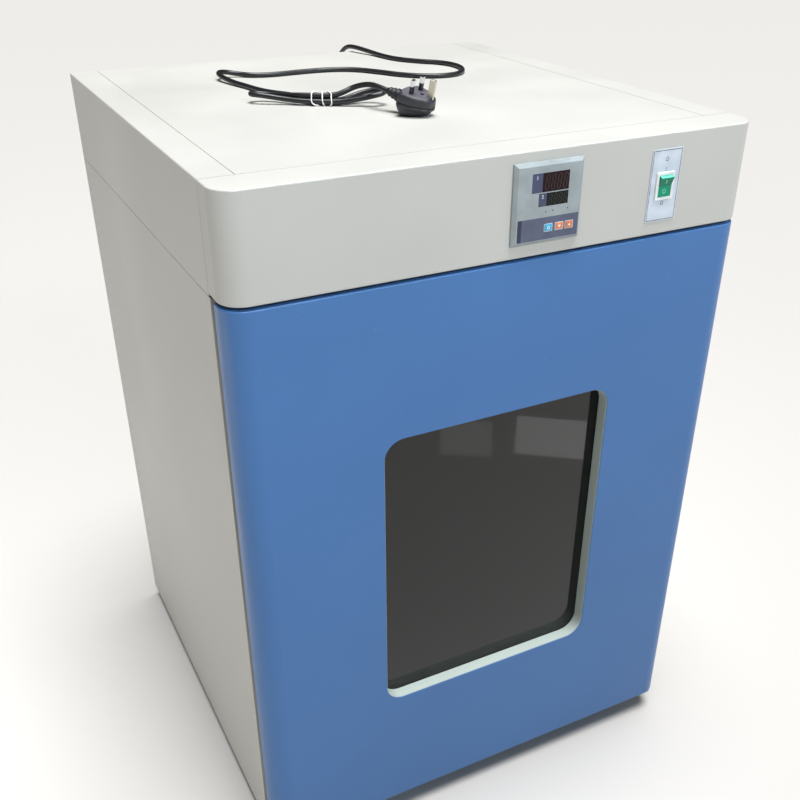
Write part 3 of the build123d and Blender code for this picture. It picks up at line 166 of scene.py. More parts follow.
class LightSettings(bpy.types.PropertyGroup):
    """The stage and its lights."""
    sun: FloatProperty(name="Overhead sun", description="Strength of the soft light from above",
                       default=5.6, min=0)
    front: FloatProperty(name="Front light", description="Power of the light in front", default=5.2, min=0,
                         subtype="POWER", unit="POWER")
    low_side: FloatProperty(name="Low side light", description="Power of the low light on the left",
                            default=0.9, min=0, subtype="POWER", unit="POWER")
    sky: FloatProperty(name="Sky", description="Strength of the even light all round",
                       default=0.06, min=0, max=3)
    floor: FloatVectorProperty(name="Floor", description="Colour of the floor", default=linear(190, 188, 185),
                               size=4, subtype="COLOR", min=0, max=1)


# Shader node groups, each built once


def make_group(name, inputs, outputs):
    """A new shader group with named float inputs and outputs; gives its nodes, links and ends."""
    group = bpy.data.node_groups.new(name, "ShaderNodeTree")
    for label, default in inputs:
        socket = group.interface.new_socket(name=label, in_out="INPUT", socket_type="NodeSocketFloat")
        socket.default_value = default
    for label in outputs:
        group.interface.new_socket(name=label, in_out="OUTPUT", socket_type="NodeSocketFloat")
    start = group.nodes.new("NodeGroupInput")
    end = group.nodes.new("NodeGroupOutput")
    return group, start, end


def noise_in(tree, scale_source, coordinates, detail=2.0, roughness=0.5, scale=5.0):
    """A noise texture on the given coordinates."""
    noise = tree.nodes.new("ShaderNodeTexNoise")
    noise.inputs["Detail"].default_value = detail
    noise.inputs["Roughness"].default_value = roughness
    noise.inputs["Scale"].default_value = scale
    if scale_source is not None:
        tree.links.new(scale_source, noise.inputs["Scale"])
    tree.links.new(coordinates, noise.inputs["Vector"])
    return noise


def peel_group():
    """Orange peel: fine rounded bumps, a slow drift of tone and a few specks of dust."""
    name = "Orange peel"
    if name in bpy.data.node_groups:
        return bpy.data.node_groups[name]
    group, start, end = make_group(name, [("Scale", 500.0), ("Drift", 6.0)], ["Height", "Tone", "Dust"])
    where = group.nodes.new("ShaderNodeTexCoord").outputs["Object"]
    fine = noise_in(group, start.outputs["Scale"], where, detail=1.5)
    slow = noise_in(group, start.outputs["Drift"], where, detail=3.0)
    specks = noise_in(group, None, where, detail=4.0, roughness=0.7, scale=90.0)
    ramp = group.nodes.new("ShaderNodeMapRange")
    ramp.inputs["From Min"].default_value = 0.66
    ramp.inputs["From Max"].default_value = 0.78
    group.links.new(specks.outputs["Fac"], ramp.inputs["Value"])
    group.links.new(fine.outputs["Fac"], end.inputs["Height"])
    group.links.new(slow.outputs["Fac"], end.inputs["Tone"])
    group.links.new(ramp.outputs["Result"], end.inputs["Dust"])
    return group


def brushed_group():
    """Brushed metal: scratches drawn out along one axis of the object, and blotches of handling."""
    name = "Brushed grain"
    if name in bpy.data.node_groups:
        return bpy.data.node_groups[name]
    group, start, end = make_group(name, [("Across", 900.0), ("Along", 9.0)], ["Height", "Smear"])
    where = group.nodes.new("ShaderNodeTexCoord").outputs["Object"]
    stretch = group.nodes.new("ShaderNodeVectorMath")
    stretch.operation = "MULTIPLY"
    scales = group.nodes.new("ShaderNodeCombineXYZ")
    group.links.new(start.outputs["Along"], scales.inputs["X"])
    group.links.new(start.outputs["Across"], scales.inputs["Y"])
    group.links.new(start.outputs["Across"], scales.inputs["Z"])
    group.links.new(where, stretch.inputs[0])
    group.links.new(scales.outputs["Vector"], stretch.inputs[1])
    lines = noise_in(group, None, stretch.outputs["Vector"], detail=2.0, scale=1.0)
    blot = noise_in(group, None, where, detail=3.0, scale=14.0)
    group.links.new(lines.outputs["Fac"], end.inputs["Height"])
    group.links.new(blot.outputs["Fac"], end.inputs["Smear"])
    return group


def mould_group():
    """Moulded plastic or rubber: a fine grain and a slow change of tone."""
    name = "Moulded grain"
    if name in bpy.data.node_groups:
        return bpy.data.node_groups[name]
    group, start, end = make_group(name, [("Grain", 1800.0), ("Patch", 40.0)], ["Height", "Tone"])
    where = group.nodes.new("ShaderNodeTexCoord").outputs["Object"]
    grain = noise_in(group, start.outputs["Grain"], where, detail=3.0, roughness=0.6)
    patch = noise_in(group, start.outputs["Patch"], where, detail=2.0)
    group.links.new(grain.outputs["Fac"], end.inputs["Height"])
    group.links.new(patch.outputs["Fac"], end.inputs["Tone"])
    return group


class Finish:
    """A material in the making: its tree, its shader and the helpers that wire it."""

    def __init__(self, name, roughness, metallic=0.0):
        self.material = bpy.data.materials.new(name)
        self.material.use_nodes = True
        self.tree = self.material.node_tree
        self.shader = self.tree.nodes["Principled BSDF"]
        self.shader.inputs["Roughness"].default_value = roughness
        self.shader.inputs["Metallic"].default_value = metallic

    def group(self, group, **values):
        node = self.tree.nodes.new("ShaderNodeGroup")
        node.node_tree = group
        for label, value in values.items():
            node.inputs[label].default_value = value
        return node

    def mix(self, factor, low, high):
        """A colour between two, or between a colour and a socket."""
        node = self.tree.nodes.new("ShaderNodeMix")
        node.data_type = "RGBA"
        self.tree.links.new(factor, node.inputs["Factor"])
        for value, socket in ((low, node.inputs[6]), (high, node.inputs[7])):
            if isinstance(value, bpy.types.NodeSocket):
                self.tree.links.new(value, socket)
            else:
                socket.default_value = value
        return node.outputs[2]

    def spread(self, source, low, high, start=0.3, end=0.7):
        """A value that goes from low to high as the source goes from start to end."""
        node = self.tree.nodes.new("ShaderNodeMapRange")
        node.inputs["From Min"].default_value = start
        node.inputs["From Max"].default_value = end
        node.inputs["To Min"].default_value = low
        node.inputs["To Max"].default_value = high
        self.tree.links.new(source, node.inputs["Value"])
        return node.outputs["Result"]

    def bump(self, height, distance, strength=1.0):
        node = self.tree.nodes.new("ShaderNodeBump")
        node.inputs["Strength"].default_value = strength
        node.inputs["Distance"].default_value = distance
        self.tree.links.new(height, node.inputs["Height"])
        self.tree.links.new(node.outputs["Normal"], self.shader.inputs["Normal"])

    def feed(self, label, source):
        self.tree.links.new(source, self.shader.inputs[label])


def shade(colour, factor):
    """A colour made darker or lighter."""
    return tuple(min(1.0, channel * factor) for channel in colour[:3]) + (1.0,)


def powder_coat(name, colour, scale, depth, rough=(0.34, 0.46)):
    """Powder-coated steel with orange peel, slow changes of tone and a little dust."""
    made = Finish(name, rough[0])
    peel = made.group(peel_group(), Scale=scale, Drift=5.0)
    tone = made.mix(made.spread(peel.outputs["Tone"], 0, 1), shade(colour, 0.965), shade(colour, 1.03))
    dusty = made.mix(made.spread(peel.outputs["Dust"], 0, 0.10, 0, 1), tone, linear(214, 212, 204))
    made.feed("Base Color", dusty)
    made.feed("Roughness", made.spread(peel.outputs["Tone"], *rough))
    made.bump(peel.outputs["Height"], depth, 0.6)
    made.shader.inputs["Specular IOR Level"].default_value = 0.28
    return made.material


def brushed_steel(name, colour, along=9.0, across=900.0, rough=(0.22, 0.38)):
    """Brushed steel with scratches and handling marks."""
    made = Finish(name, rough[0], 1.0)
    grain = made.group(brushed_group(), Along=along, Across=across)
    made.feed("Base Color", made.mix(made.spread(grain.outputs["Smear"], 0, 1), shade(colour, 0.9), colour))
    made.feed("Roughness", made.spread(grain.outputs["Smear"], *rough))
    made.bump(grain.outputs["Height"], 0.00003, 0.5)
    return made.material


def moulded(name, colour, rough=(0.42, 0.56), grain=1800.0, depth=0.00004, coat=0.0, gloss=0.5):
    """Moulded plastic or rubber."""
    made = Finish(name, rough[0])
    skin = made.group(mould_group(), Grain=grain, Patch=45.0)
    tone = made.spread(skin.outputs["Tone"], 0, 1)
    made.feed("Base Color", made.mix(tone, shade(colour, 0.88), shade(colour, 1.1)))
    made.feed("Roughness", made.spread(skin.outputs["Tone"], *rough))
    made.bump(skin.outputs["Height"], depth, 0.6)
    made.shader.inputs["Coat Weight"].default_value = coat
    made.shader.inputs["Specular IOR Level"].default_value = gloss
    return made.material


def plated(name, colour, rough=(0.10, 0.22)):
    """Bright plated metal with fine dulling."""
    made = Finish(name, rough[0], 1.0)
    skin = made.group(mould_group(), Grain=900.0, Patch=60.0)
    made.feed("Base Color", made.mix(made.spread(skin.outputs["Tone"], 0, 1), shade(colour, 0.9), colour))
    made.feed("Roughness", made.spread(skin.outputs["Tone"], *rough))
    made.bump(skin.outputs["Height"], 0.00001, 0.4)
    return made.material


def wool(name, colour):
    """Glass wool: matte tangled fibre."""
    made = Finish(name, 0.95)
    skin = made.group(mould_group(), Grain=420.0, Patch=25.0)
    made.feed("Base Color", made.mix(made.spread(skin.outputs["Height"], 0, 1), shade(colour, 0.75), colour))
    made.feed("Roughness", made.spread(skin.outputs["Tone"], 0.9, 1.0))
    made.bump(skin.outputs["Height"], 0.0012, 0.9)
    return made.material


def clear_glass(name, tint):
    """Window glass with a dark green tint and faint wipe marks."""
    made = Finish(name, 0.02)
    skin = made.group(mould_group(), Grain=30.0, Patch=7.0)
    made.feed("Base Color", made.mix(made.spread(skin.outputs["Tone"], 0, 1), shade(tint, 0.92), tint))
    made.feed("Roughness", made.spread(skin.outputs["Tone"], 0.01, 0.05))
    made.shader.inputs["Transmission Weight"].default_value = 1.0
    made.shader.inputs["IOR"].default_value = 1.5
    made.shader.inputs["Specular IOR Level"].default_value = 0.03
    return made.material


def printed(name, colour, rough=0.4):
    """A printed or painted area."""
    return moulded(name, colour, (rough, rough + 0.08), 2600.0, 0.00001)


MATERIALS = {}


def make_materials(scene):
    """Every finish of the incubator, by the record's slot or by its own name."""
    cabinet = scene.incubator_cabinet
    cord = scene.incubator_cord
    control = scene.incubator_control
    grey = tuple(cabinet.grey)
    display = ((0.2, 0.26), 400.0, 0.000005, 0.0, 0.2)
    rocker = ((0.2, 0.28), 2000.0, 0.00001, 0.0, 0.25)
    made = {
        "grey_paint": powder_coat("grey_paint", grey, cabinet.peel_scale, cabinet.peel_depth),
        "blue_paint": powder_coat("blue_paint", tuple(cabinet.blue), cabinet.peel_scale * 1.3,
                                  cabinet.peel_depth * 0.6, (0.30, 0.40)),
        "pale_paint": powder_coat("pale_paint", tuple(cabinet.collar), cabinet.peel_scale,
                                  cabinet.peel_depth * 0.5),
        "stainless": brushed_steel("stainless", linear(196, 198, 196)),
        "zinc_steel": brushed_steel("zinc_steel", linear(186, 190, 194), 60.0, 300.0, (0.3, 0.45)),
        "chrome_wire": plated("chrome_wire", linear(222, 224, 226)),
        "aluminium": brushed_steel("aluminium", linear(210, 212, 214), 40.0, 500.0),
        "brass": plated("brass", linear(206, 202, 186), (0.3, 0.42)),
        "glass_wool": wool("glass_wool", linear(225, 205, 140)),
        "black_rubber": moulded("black_rubber", linear(38, 38, 40), (0.6, 0.75)),
        "grey_rubber": moulded("grey_rubber", linear(96, 99, 102), (0.6, 0.75)),
        "black_plastic": moulded("black_plastic", linear(34, 35, 38)),
        "black_cord": moulded("black_cord", linear(24, 26, 29), (0.34, 0.46), 900.0, 0.00003, 0.1),
        "plug_plastic": moulded("plug_plastic", tuple(cord.plug), (0.42, 0.55), 1400.0, 0.00006),
        "plug_face": moulded("plug_face", linear(84, 82, 92), (0.5, 0.62), 1400.0, 0.00005),
        "grey_plastic": moulded("grey_plastic", tuple(control.face), (0.36, 0.46), 2200.0, 0.00002, 0.15),
        "display_window": moulded("display_window", linear(30, 13, 18), *display),
        "pale_plate": moulded("pale_plate", linear(200, 208, 220), (0.34, 0.42), 2400.0, 0.00002, 0.1),
        "white_plastic": moulded("white_plastic", linear(228, 230, 232), (0.28, 0.36), 2400.0, 0.00001, 0.2),
        "green_plastic": moulded("green_plastic", tuple(control.rocker), *rocker),
        "blue_key": moulded("blue_key", linear(60, 168, 206), (0.3, 0.4), 2000.0, 0.00001, 0.2),
        "orange_key": moulded("orange_key", linear(214, 124, 78), (0.3, 0.4), 2000.0, 0.00001, 0.2),
        "glass": clear_glass("glass", linear(66, 72, 74)),
        "white_wire": moulded("white_wire", linear(240, 240, 238), (0.35, 0.45), 2000.0, 0.00001),
        "print_white": printed("print_white", linear(232, 234, 238)),
        # Painted highlight: a pale green for the rocker's upward faces, standing in for the overhead light they catch.
        "rocker_edge": moulded("rocker_edge", linear(96, 206, 172), (0.2, 0.28), 2000.0, 0.00001, 0.0, 0.3),
        "print_grey": printed("print_grey", linear(66, 70, 82)),
        "slate_label": printed("slate_label", linear(62, 68, 96), 0.32),
        # Key band: its own navy plus a painted reflection of the film on the face; band_dark at its left end is the
        # navy without that reflection.
        "slate_band": printed("slate_band", tuple(control.band), 0.28),
        "band_dark": printed("band_dark", linear(44, 46, 74), 0.28),
        "ghost_red": printed("ghost_red", linear(52, 24, 30), 0.3),
        "ghost_green": printed("ghost_green", linear(32, 42, 38), 0.3),
        "setpoint_window": moulded("setpoint_window", linear(15, 19, 19), *display),
        "dot_dark": printed("dot_dark", linear(52, 40, 44), 0.25),
        "key_border": printed("key_border", linear(206, 212, 220)),
        "rocker_mark": printed("rocker_mark", linear(150, 226, 200)),
        # Painted light: a lighter green for the rocker's lower half, standing in for the light falling on it.
        "rocker_light": moulded("rocker_light", linear(16, 156, 118), *rocker),
        # Painted shade: near-black for the walls of the plug's screw hole, standing in for the shade in the recess.
        "hole_dark": printed("hole_dark", linear(14, 14, 15), 0.7),
    }
    MATERIALS.update(made)


def only_material(piece, name):
    """The piece's one material."""
    piece.data.materials.clear()
    piece.data.materials.append(MATERIALS[name])


# Mesh helpers


def piece_from(name, mesh_data, material, body="cabinet", smooth=False):
    """A new object at the origin from vertices and faces in the row frame."""
    mesh = bpy.data.meshes.new(name)
    if isinstance(mesh_data, bmesh.types.BMesh):
        mesh_data.to_mesh(mesh)
        mesh_data.free()
    else:
        mesh.from_pydata(mesh_data[0], [], mesh_data[1])
    mesh.validate()
    piece = bpy.data.objects.new(name, mesh)
    bpy.context.scene.collection.objects.link(piece)
    if material:
        only_material(piece, material)
    for face in mesh.polygons:
        face.use_smooth = smooth
    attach(piece, body)
    return piece


def settle(piece):
    """The piece's mesh with its modifiers applied."""
    bpy.context.view_layer.update()
    graph = bpy.context.evaluated_depsgraph_get()
    mesh = bpy.data.meshes.new_from_object(piece.evaluated_get(graph))
    piece.modifiers.clear()
    old = piece.data
    piece.data = mesh
    bpy.data.meshes.remove(old)
    return piece


def add_plate(bm, corners, out, thickness):
    """A thin plate whose outline is a list of points in order and whose front stands out along a direction."""
    out = Vector(out).normalized() * thickness
    low = [bm.verts.new(Vector(point)) for point in corners]
    high = [bm.verts.new(Vector(point) + out) for point in corners]
    count = len(corners)
    bm.faces.new(low[::-1])
    bm.faces.new(high)
    for index in range(count):
        bm.faces.new((low[index], low[(index + 1) % count], high[(index + 1) % count], high[index]))


def face_rectangle(x0, x1, z0, z1, y):
    """The corners of a rectangle that faces the front."""
    return [(x0, y, z0), (x1, y, z0), (x1, y, z1), (x0, y, z1)]


def round_outline(width, height, radius, steps=6):
    """The corners of a rounded rectangle about the origin, anticlockwise."""
    points = []
    for sign_x, sign_y, start in ((1, -1, -90), (1, 1, 0), (-1, 1, 90), (-1, -1, 180)):
        for step in range(steps + 1):
            angle = radians(start + 90 * step / steps)
            points.append((sign_x * (width / 2 - radius) + radius * cos(angle),
                           sign_y * (height / 2 - radius) + radius * sin(angle)))
    return points


def add_loop_band(bm, outer, inner, place, out, thickness):
    """A flat band between two outlines with the same number of points."""
    out = Vector(out).normalized() * thickness
    rings = []
    for outline, rise in ((outer, 0), (outer, 1), (inner, 1), (inner, 0)):
        rings.append([bm.verts.new(place @ Vector((x, y, 0)) + out * rise) for x, y in outline])
    count = len(outer)
    for ring, following in zip(rings, rings[1:] + rings[:1]):
        for index in range(count):
            step = (index + 1) % count
            bm.faces.new((ring[index], ring[step], following[step], following[index]))


def front_place(x, y, z):
    """A frame whose local x runs right and local y up on a face that looks to the front."""
    return Matrix.Translation((x, y, z)) @ Matrix.Rotation(pi / 2, 4, "X")


def tube_along(name, points, radius, material, body="cabinet", cyclic=False, resolution=8):
    """A round wire along a smooth line through control points."""
    curve = bpy.data.curves.new(name, "CURVE")
    curve.dimensions = "3D"
    spline = curve.splines.new("NURBS")
    spline.points.add(len(points) - 1)
    for target, point in zip(spline.points, points):
        target.co = (*point, 1)
        target.radius = radius
    spline.order_u = 3
    spline.use_endpoint_u = not cyclic
    spline.use_cyclic_u = cyclic
    spline.resolution_u = resolution
    curve.bevel_depth = 1.0
    curve.bevel_resolution = 5
    curve.use_fill_caps = True
    piece = bpy.data.objects.new(name, curve)
    bpy.context.scene.collection.objects.link(piece)
    piece.data.materials.append(MATERIALS[material])
    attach(piece, body)
    return piece


# Operators


class INCUBATOR_OT_stage(bpy.types.Operator):
    """Makes the floor, the lights and the camera"""
    bl_idname = "incubator.stage"
    bl_label = "Stage, lights and camera"

    def execute(self, context):
        scene = context.scene
        settings = scene.incubator_light
        mesh = bpy.data.meshes.new("floor")
        reach = 30.0
        mesh.from_pydata([(-reach, -reach, 0), (reach, -reach, 0), (reach, reach, 0), (-reach, reach, 0)], [],
                         [(0, 1, 2, 3)])
        floor = bpy.data.objects.new("floor", mesh)
        scene.collection.objects.link(floor)
        made = Finish("floor_paint", 0.6)
        made.shader.inputs["Base Color"].default_value = tuple(settings.floor)
        floor.data.materials.append(made.material)
        world = bpy.data.worlds.new("sky")
        world.use_nodes = True
        world.node_tree.nodes["Background"].inputs["Color"].default_value = linear(244, 247, 252)
        world.node_tree.nodes["Background"].inputs["Strength"].default_value = settings.sky
        scene.world = world
        self.sun(scene, settings.sun)
        self.lamp(scene, "front", settings.front, (2.4, 0.5), (0.45, -2.4, 2.45), (0.05, -0.36, 1.08), (0.80, 0.92, 1.0),
                  radians(46))
        self.lamp(scene, "low_side", settings.low_side, (0.7, 0.35), (-1.25, 0.05, 0.34), (-0.36, 0.0, 0.26),
                  (1.0, 0.95, 0.84))
        self.lamp(scene, "card_near", 0.045, (0.17, 0.09), (0.60, -1.02, 0.13), (0.08, -0.337, 0.60), (1, 1, 1))
        self.lamp(scene, "card_far", 0.012, (0.12, 0.08), (0.40, -1.08, 0.15), (-0.05, -0.337, 0.64), (1, 1, 1))
        data = bpy.data.cameras.new("camera")
        data.sensor_width = 36
        data.lens = 44.306
        data.shift_x = -0.01674
        data.shift_y = 0.07841
        data.clip_start = 0.05
        data.clip_end = 60
        camera = bpy.data.objects.new("camera", data)
        camera.location = (-0.6251, -1.3021, 1.2919)
        camera.rotation_euler = (1.02409, -0.00383, -0.47681)
        scene.collection.objects.link(camera)
        scene.camera = camera
        scene.view_settings.view_transform = "Standard"
        scene.view_settings.look = "None"
        return {"FINISHED"}

    def sun(self, scene, strength):
        data = bpy.data.lights.new("overhead", "SUN")
        data.energy = strength
        data.angle = radians(36)
        lamp = bpy.data.objects.new("overhead", data)
        lamp.rotation_euler = Vector((-0.05, 0.08, -1)).to_track_quat("-Z", "Y").to_euler()
        scene.collection.objects.link(lamp)

    def lamp(self, scene, name, power, size, place, aim, colour, spread=pi):
        data = bpy.data.lights.new(name, "AREA")
        data.energy = power
        data.color = colour
        data.shape = "RECTANGLE"
        data.size, data.size_y = size
        data.spread = spread
        lamp = bpy.data.objects.new(name, data)
        lamp.location = place
        lamp.rotation_euler = (Vector(aim) - Vector(place)).to_track_quat("-Z", "Y").to_euler()
        scene.collection.objects.link(lamp)


class INCUBATOR_OT_finishes(bpy.types.Operator):
    """Gives every CAD node its finish"""
    bl_idname = "incubator.finishes"
    bl_label = "Finishes"

    def execute(self, context):
        make_materials(context.scene)
        for entry in frame["record"]["subparts"]:
            only_material(nodes[entry["node"]], entry["material_slot"])
        return {"FINISHED"}


class INCUBATOR_OT_cord(bpy.types.Operator):
    """Makes the mains cord with its wire tie"""
    bl_idname = "incubator.cord"
    bl_label = "Mains cord and tie"

    def execute(self, context):
        settings = context.scene.incubator_cord
        cord = tube_along("mains_cord", CORD_ROUTE, settings.radius, "black_cord", resolution=10)
        cord.data.bevel_resolution = 6
        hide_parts("power_cord")
        tie = self.tie(settings)
        return {"FINISHED"}

    def tie(self, settings):
        """A wire wound round the three strands."""
        along = Vector((cos(TIE_TURN), sin(TIE_TURN), 0))
        across = Vector((-sin(TIE_TURN), cos(TIE_TURN), 0))
        up = Vector((0, 0, 1))
        half = STRAND_SPACING / 2
        third = STRAND_HEIGHT + STRAND_SPACING * sin(radians(60))
        corners = [(-half, STRAND_HEIGHT), (half, STRAND_HEIGHT), (0, third)]
        around = settings.radius + settings.tie_wire + 0.0003
        bows = (-0.0075, 0.0, 0.0050)
        points = []
        steps = 7
        for turn in range(settings.tie_turns):
            start = -0.0100 + turn * 0.0072
            bow = bows[turn % len(bows)]
            for side in range(3):
                x, z = corners[(side + 1) % 3]
                for step in range(steps):
                    angle = radians(330 + 120 * (side + (step / (steps - 1) - 0.5) * 0.98))
                    share = (side + step / steps) / 3
                    facing = max(0.0, cos(angle - radians(165)))
                    lean = start + share * 0.0072 + bow * facing
                    reach = around + 0.18 * abs(bow) * facing
                    place = TIE_MIDDLE + along * lean
                    points.append(place + across * (x + reach * cos(angle)) + up * (z + reach * sin(angle)))
        return self.wire(points, settings)

    def wire(self, points, settings):
        piece = tube_along("wire_tie", points, settings.tie_wire, "white_wire", resolution=3)
        settle_curve(piece)
        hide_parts("cord_tie")
        return bpy.data.objects["wire_tie"]


def settle_curve(piece):
    """Turns a curve object into a mesh object of the same name, body and material."""
    bpy.context.view_layer.update()
    graph = bpy.context.evaluated_depsgraph_get()
    mesh = bpy.data.meshes.new_from_object(piece.evaluated_get(graph))
    name = piece.name
    body = piece["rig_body"]
    bpy.data.objects.remove(piece)
    made = bpy.data.objects.new(name, mesh)
    bpy.context.scene.collection.objects.link(made)
    made.name = name
    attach(made, body)
    return made


class INCUBATOR_OT_plug(bpy.types.Operator):
    """Makes the moulded plug with its ribbed boot"""
    bl_idname = "incubator.plug"
    bl_label = "Mains plug"

    def execute(self, context):
        body = self.body()
        boot = self.boot()
        sleeves = self.sleeves()
        for other in (boot, sleeves):
            with context.temp_override(active_object=body, selected_editable_objects=[body, other],
                                       selected_objects=[body, other]):
                bpy.ops.object.join()
        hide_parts("plug_body")
        pins = nodes["plug_pins"]
        pins.data.materials.clear()
        pins.data.materials.append(MATERIALS["chrome_wire"])
        pins.data.materials.append(MATERIALS["brass"])
        inverse = PLUG_FRAME.inverted()
        for face in pins.data.polygons:
            place = inverse @ Vector(face.center)
            face.material_index = 1 if place.x > 0.012 else 0
        return {"FINISHED"}

    def outline(self, grow, count=72):
        """The plug's rounded outline across its pins, as points by turn."""
        half = [(-0.018, 0.011), (-0.012, 0.024), (0.008, 0.0215), (0.027, 0.0095)]
        points = [(x + (grow if x > 0 else -grow), y + grow) for x, y in half]
        points = points + [(x, -y) for x, y in reversed(points)]
        rounded = []
        total = len(points)
        for index in range(total):
            here = Vector(points[index])
            before = Vector(points[index - 1])
            after = Vector(points[(index + 1) % total])
            cut = 0.0062
            first = here + (before - here).normalized() * min(cut, (before - here).length * 0.45)
            last = here + (after - here).normalized() * min(cut, (after - here).length * 0.45)
            for step in range(7):
                t = step / 6
                rounded.append(first * (1 - t) ** 2 + here * 2 * t * (1 - t) + last * t * t)
        lengths = [0.0]
        for index in range(len(rounded)):
            lengths.append(lengths[-1] + (rounded[(index + 1) % len(rounded)] - rounded[index]).length)
        even = []
        place = 0
        for index in range(count):
            target = lengths[-1] * index / count
            while lengths[place + 1] < target:
                place += 1
            share = (target - lengths[place]) / max(1e-9, lengths[place + 1] - lengths[place])
            even.append(rounded[place].lerp(rounded[(place + 1) % len(rounded)], share))
        return even

    def body(self):
        """The body: a pin face, a skirt, a parting groove and a rounded back that rests on the top."""
        rest = 1.0153
        bm = bmesh.new()
        sections = [(0.0, -0.0030, 0), (0.0, -0.0025, 0), (0.0006, -0.0018, 0), (0.0016, -0.0008, 0), (0.0030, 0.0, 0),
                    (0.0042, 0.0002, 0), (0.0115, 0.0007, 0), (0.0119, -0.0002, 0), (0.0125, -0.0002, 0),
                    (0.0129, 0.0007, 0), (0.0165, 0.0006, 0), (0.60, 0.0, 1), (0.75, -0.0010, 1), (0.87, -0.0026, 1),
                    (0.95, -0.0048, 1), (0.99, -0.0072, 1), (1.0, -0.0095, 1)]
        rings = []
        for depth, grow, kind in sections:
            ring = []
            for point in self.outline(grow):
                foot = PLUG_FRAME @ Vector((point.x, point.y, 0))
                reach = (foot.z - rest) / PLUG_Z.z
                drop = depth * reach if kind else depth
                lift = 0.0
                if kind and point.x < -0.004:
                    lift = (depth - 0.6) / 0.4 * min(0.006, (-0.004 - point.x) * 0.45)
                ring.append(bm.verts.new(PLUG_FRAME @ Vector((point.x, point.y, -drop + lift))))
            rings.append(ring)
        count = len(rings[0])
        for upper, lower in zip(rings, rings[1:]):
            for index in range(count):
                step = (index + 1) % count
                bm.faces.new((upper[index], lower[index], lower[step], upper[step]))
        bm.faces.new(rings[0])
        bm.faces.new(rings[-1][::-1])
        bmesh.ops.recalc_face_normals(bm, faces=bm.faces)
        piece = piece_from("mains_plug", bm, "plug_plastic", smooth=True)
        piece.data.materials.append(MATERIALS["plug_face"])
        piece.data.materials.append(MATERIALS["hole_dark"])
        for face in piece.data.polygons:
            if len(face.vertices) > 4:
                face.use_smooth = False
                if face.normal.dot(PLUG_Z) > 0.5:
                    face.material_index = 1
        # The screw hole's walls take the cutter's near-black painted shade.
        cutter = self.cylinder("screw_cutter", 0.0095, 0, -0.004, 0.002, 0.0026)
        cutter.data.materials.append(MATERIALS["hole_dark"])
        piece.modifiers.new("screw", "BOOLEAN").object = cutter
        piece.modifiers["screw"].operation = "DIFFERENCE"
        piece.modifiers["screw"].solver = "EXACT"
        settle(piece)
        bpy.data.objects.remove(cutter)
        return piece

    def cylinder(self, name, x, y, z0, z1, radius, count=28):
        """A round bar along the plug's pins."""
        bm = bmesh.new()
        low = [bm.verts.new(PLUG_FRAME @ Vector((x + radius * cos(2 * pi * i / count),
                                                 y + radius * sin(2 * pi * i / count), z0))) for i in range(count)]
        high = [bm.verts.new(PLUG_FRAME @ Vector((x + radius * cos(2 * pi * i / count),
                                                  y + radius * sin(2 * pi * i / count), z1))) for i in range(count)]
        bm.faces.new(low[::-1])
        bm.faces.new(high)
        for index in range(count):
            step = (index + 1) % count
            bm.faces.new((low[index], low[step], high[step], high[index]))
        return piece_from(name, bm, None)

    def boot(self):
        """The ribbed strain relief between the body and the cord."""
        profile = [(-0.016, 0.0078), (-0.0215, 0.0078), (-0.0228, 0.0066), (-0.0236, 0.0079), (-0.0248, 0.0082),
                   (-0.0266, 0.0079), (-0.0276, 0.0060), (-0.0292, 0.0060), (-0.0300, 0.0068), (-0.0314, 0.0071),
                   (-0.0328, 0.0067), (-0.0336, 0.0053), (-0.0350, 0.0053), (-0.0357, 0.0058), (-0.0368, 0.0061),
                   (-0.0380, 0.0056), (-0.0387, 0.0047), (-0.0410, 0.0044), (-0.0410, 0.0034)]
        count = 32
        bm = bmesh.new()
        rings = []
        for x, radius in profile:
            ring = []
            for index in range(count):
                angle = 2 * pi * index / count
                ring.append(bm.verts.new(PLUG_FRAME @ Vector((x, radius * cos(angle), -0.013 + radius * sin(angle)))))
            rings.append(ring)
        for first, second in zip(rings, rings[1:]):
            for index in range(count):
                step = (index + 1) % count
                bm.faces.new((first[index], first[step], second[step], second[index]))
        bm.faces.new(rings[0])
        bm.faces.new(rings[-1][::-1])
        bmesh.ops.recalc_face_normals(bm, faces=bm.faces)
        return piece_from("plug_boot", bm, "black_plastic", smooth=True)

    def sleeves(self):
        """The black sleeves round the line pins."""
        bm = bmesh.new()
        for side in (-1, 1):
            outline = round_outline(0.0041, 0.00645, 0.0008, 4)
            place = PLUG_FRAME @ Matrix.Translation((0, side * 0.0111, -0.001))
            low = [bm.verts.new(place @ Vector((x, y, 0))) for x, y in outline]
            high = [bm.verts.new(place @ Vector((x, y, 0.010))) for x, y in outline]
            bm.faces.new(low[::-1])
            bm.faces.new(high)
            for index in range(len(outline)):
                step = (index + 1) % len(outline)
                bm.faces.new((low[index], low[step], high[step], high[index]))
        return piece_from("pin_sleeves", bm, "black_plastic")


class Print:
    """Thin printed shapes of several finishes, gathered into one piece."""

    def __init__(self, materials):
        self.bm = bmesh.new()
        self.materials = materials

    def plate(self, corners, out, thickness, material):
        known = set(self.bm.faces)
        add_plate(self.bm, corners, out, thickness)
        self.mark(known, material)

    def band(self, outer, inner, place, out, thickness, material):
        known = set(self.bm.faces)
        add_loop_band(self.bm, outer, inner, place, out, thickness)
        self.mark(known, material)

    def mark(self, known, material):
        index = self.materials.index(material)
        for face in self.bm.faces:
            if face not in known:
                face.material_index = index

    def piece(self, name, body):
        bmesh.ops.recalc_face_normals(self.bm, faces=self.bm.faces)
        made = piece_from(name, self.bm, None, body)
        for material in self.materials:
            made.data.materials.append(MATERIALS[material])
        return made


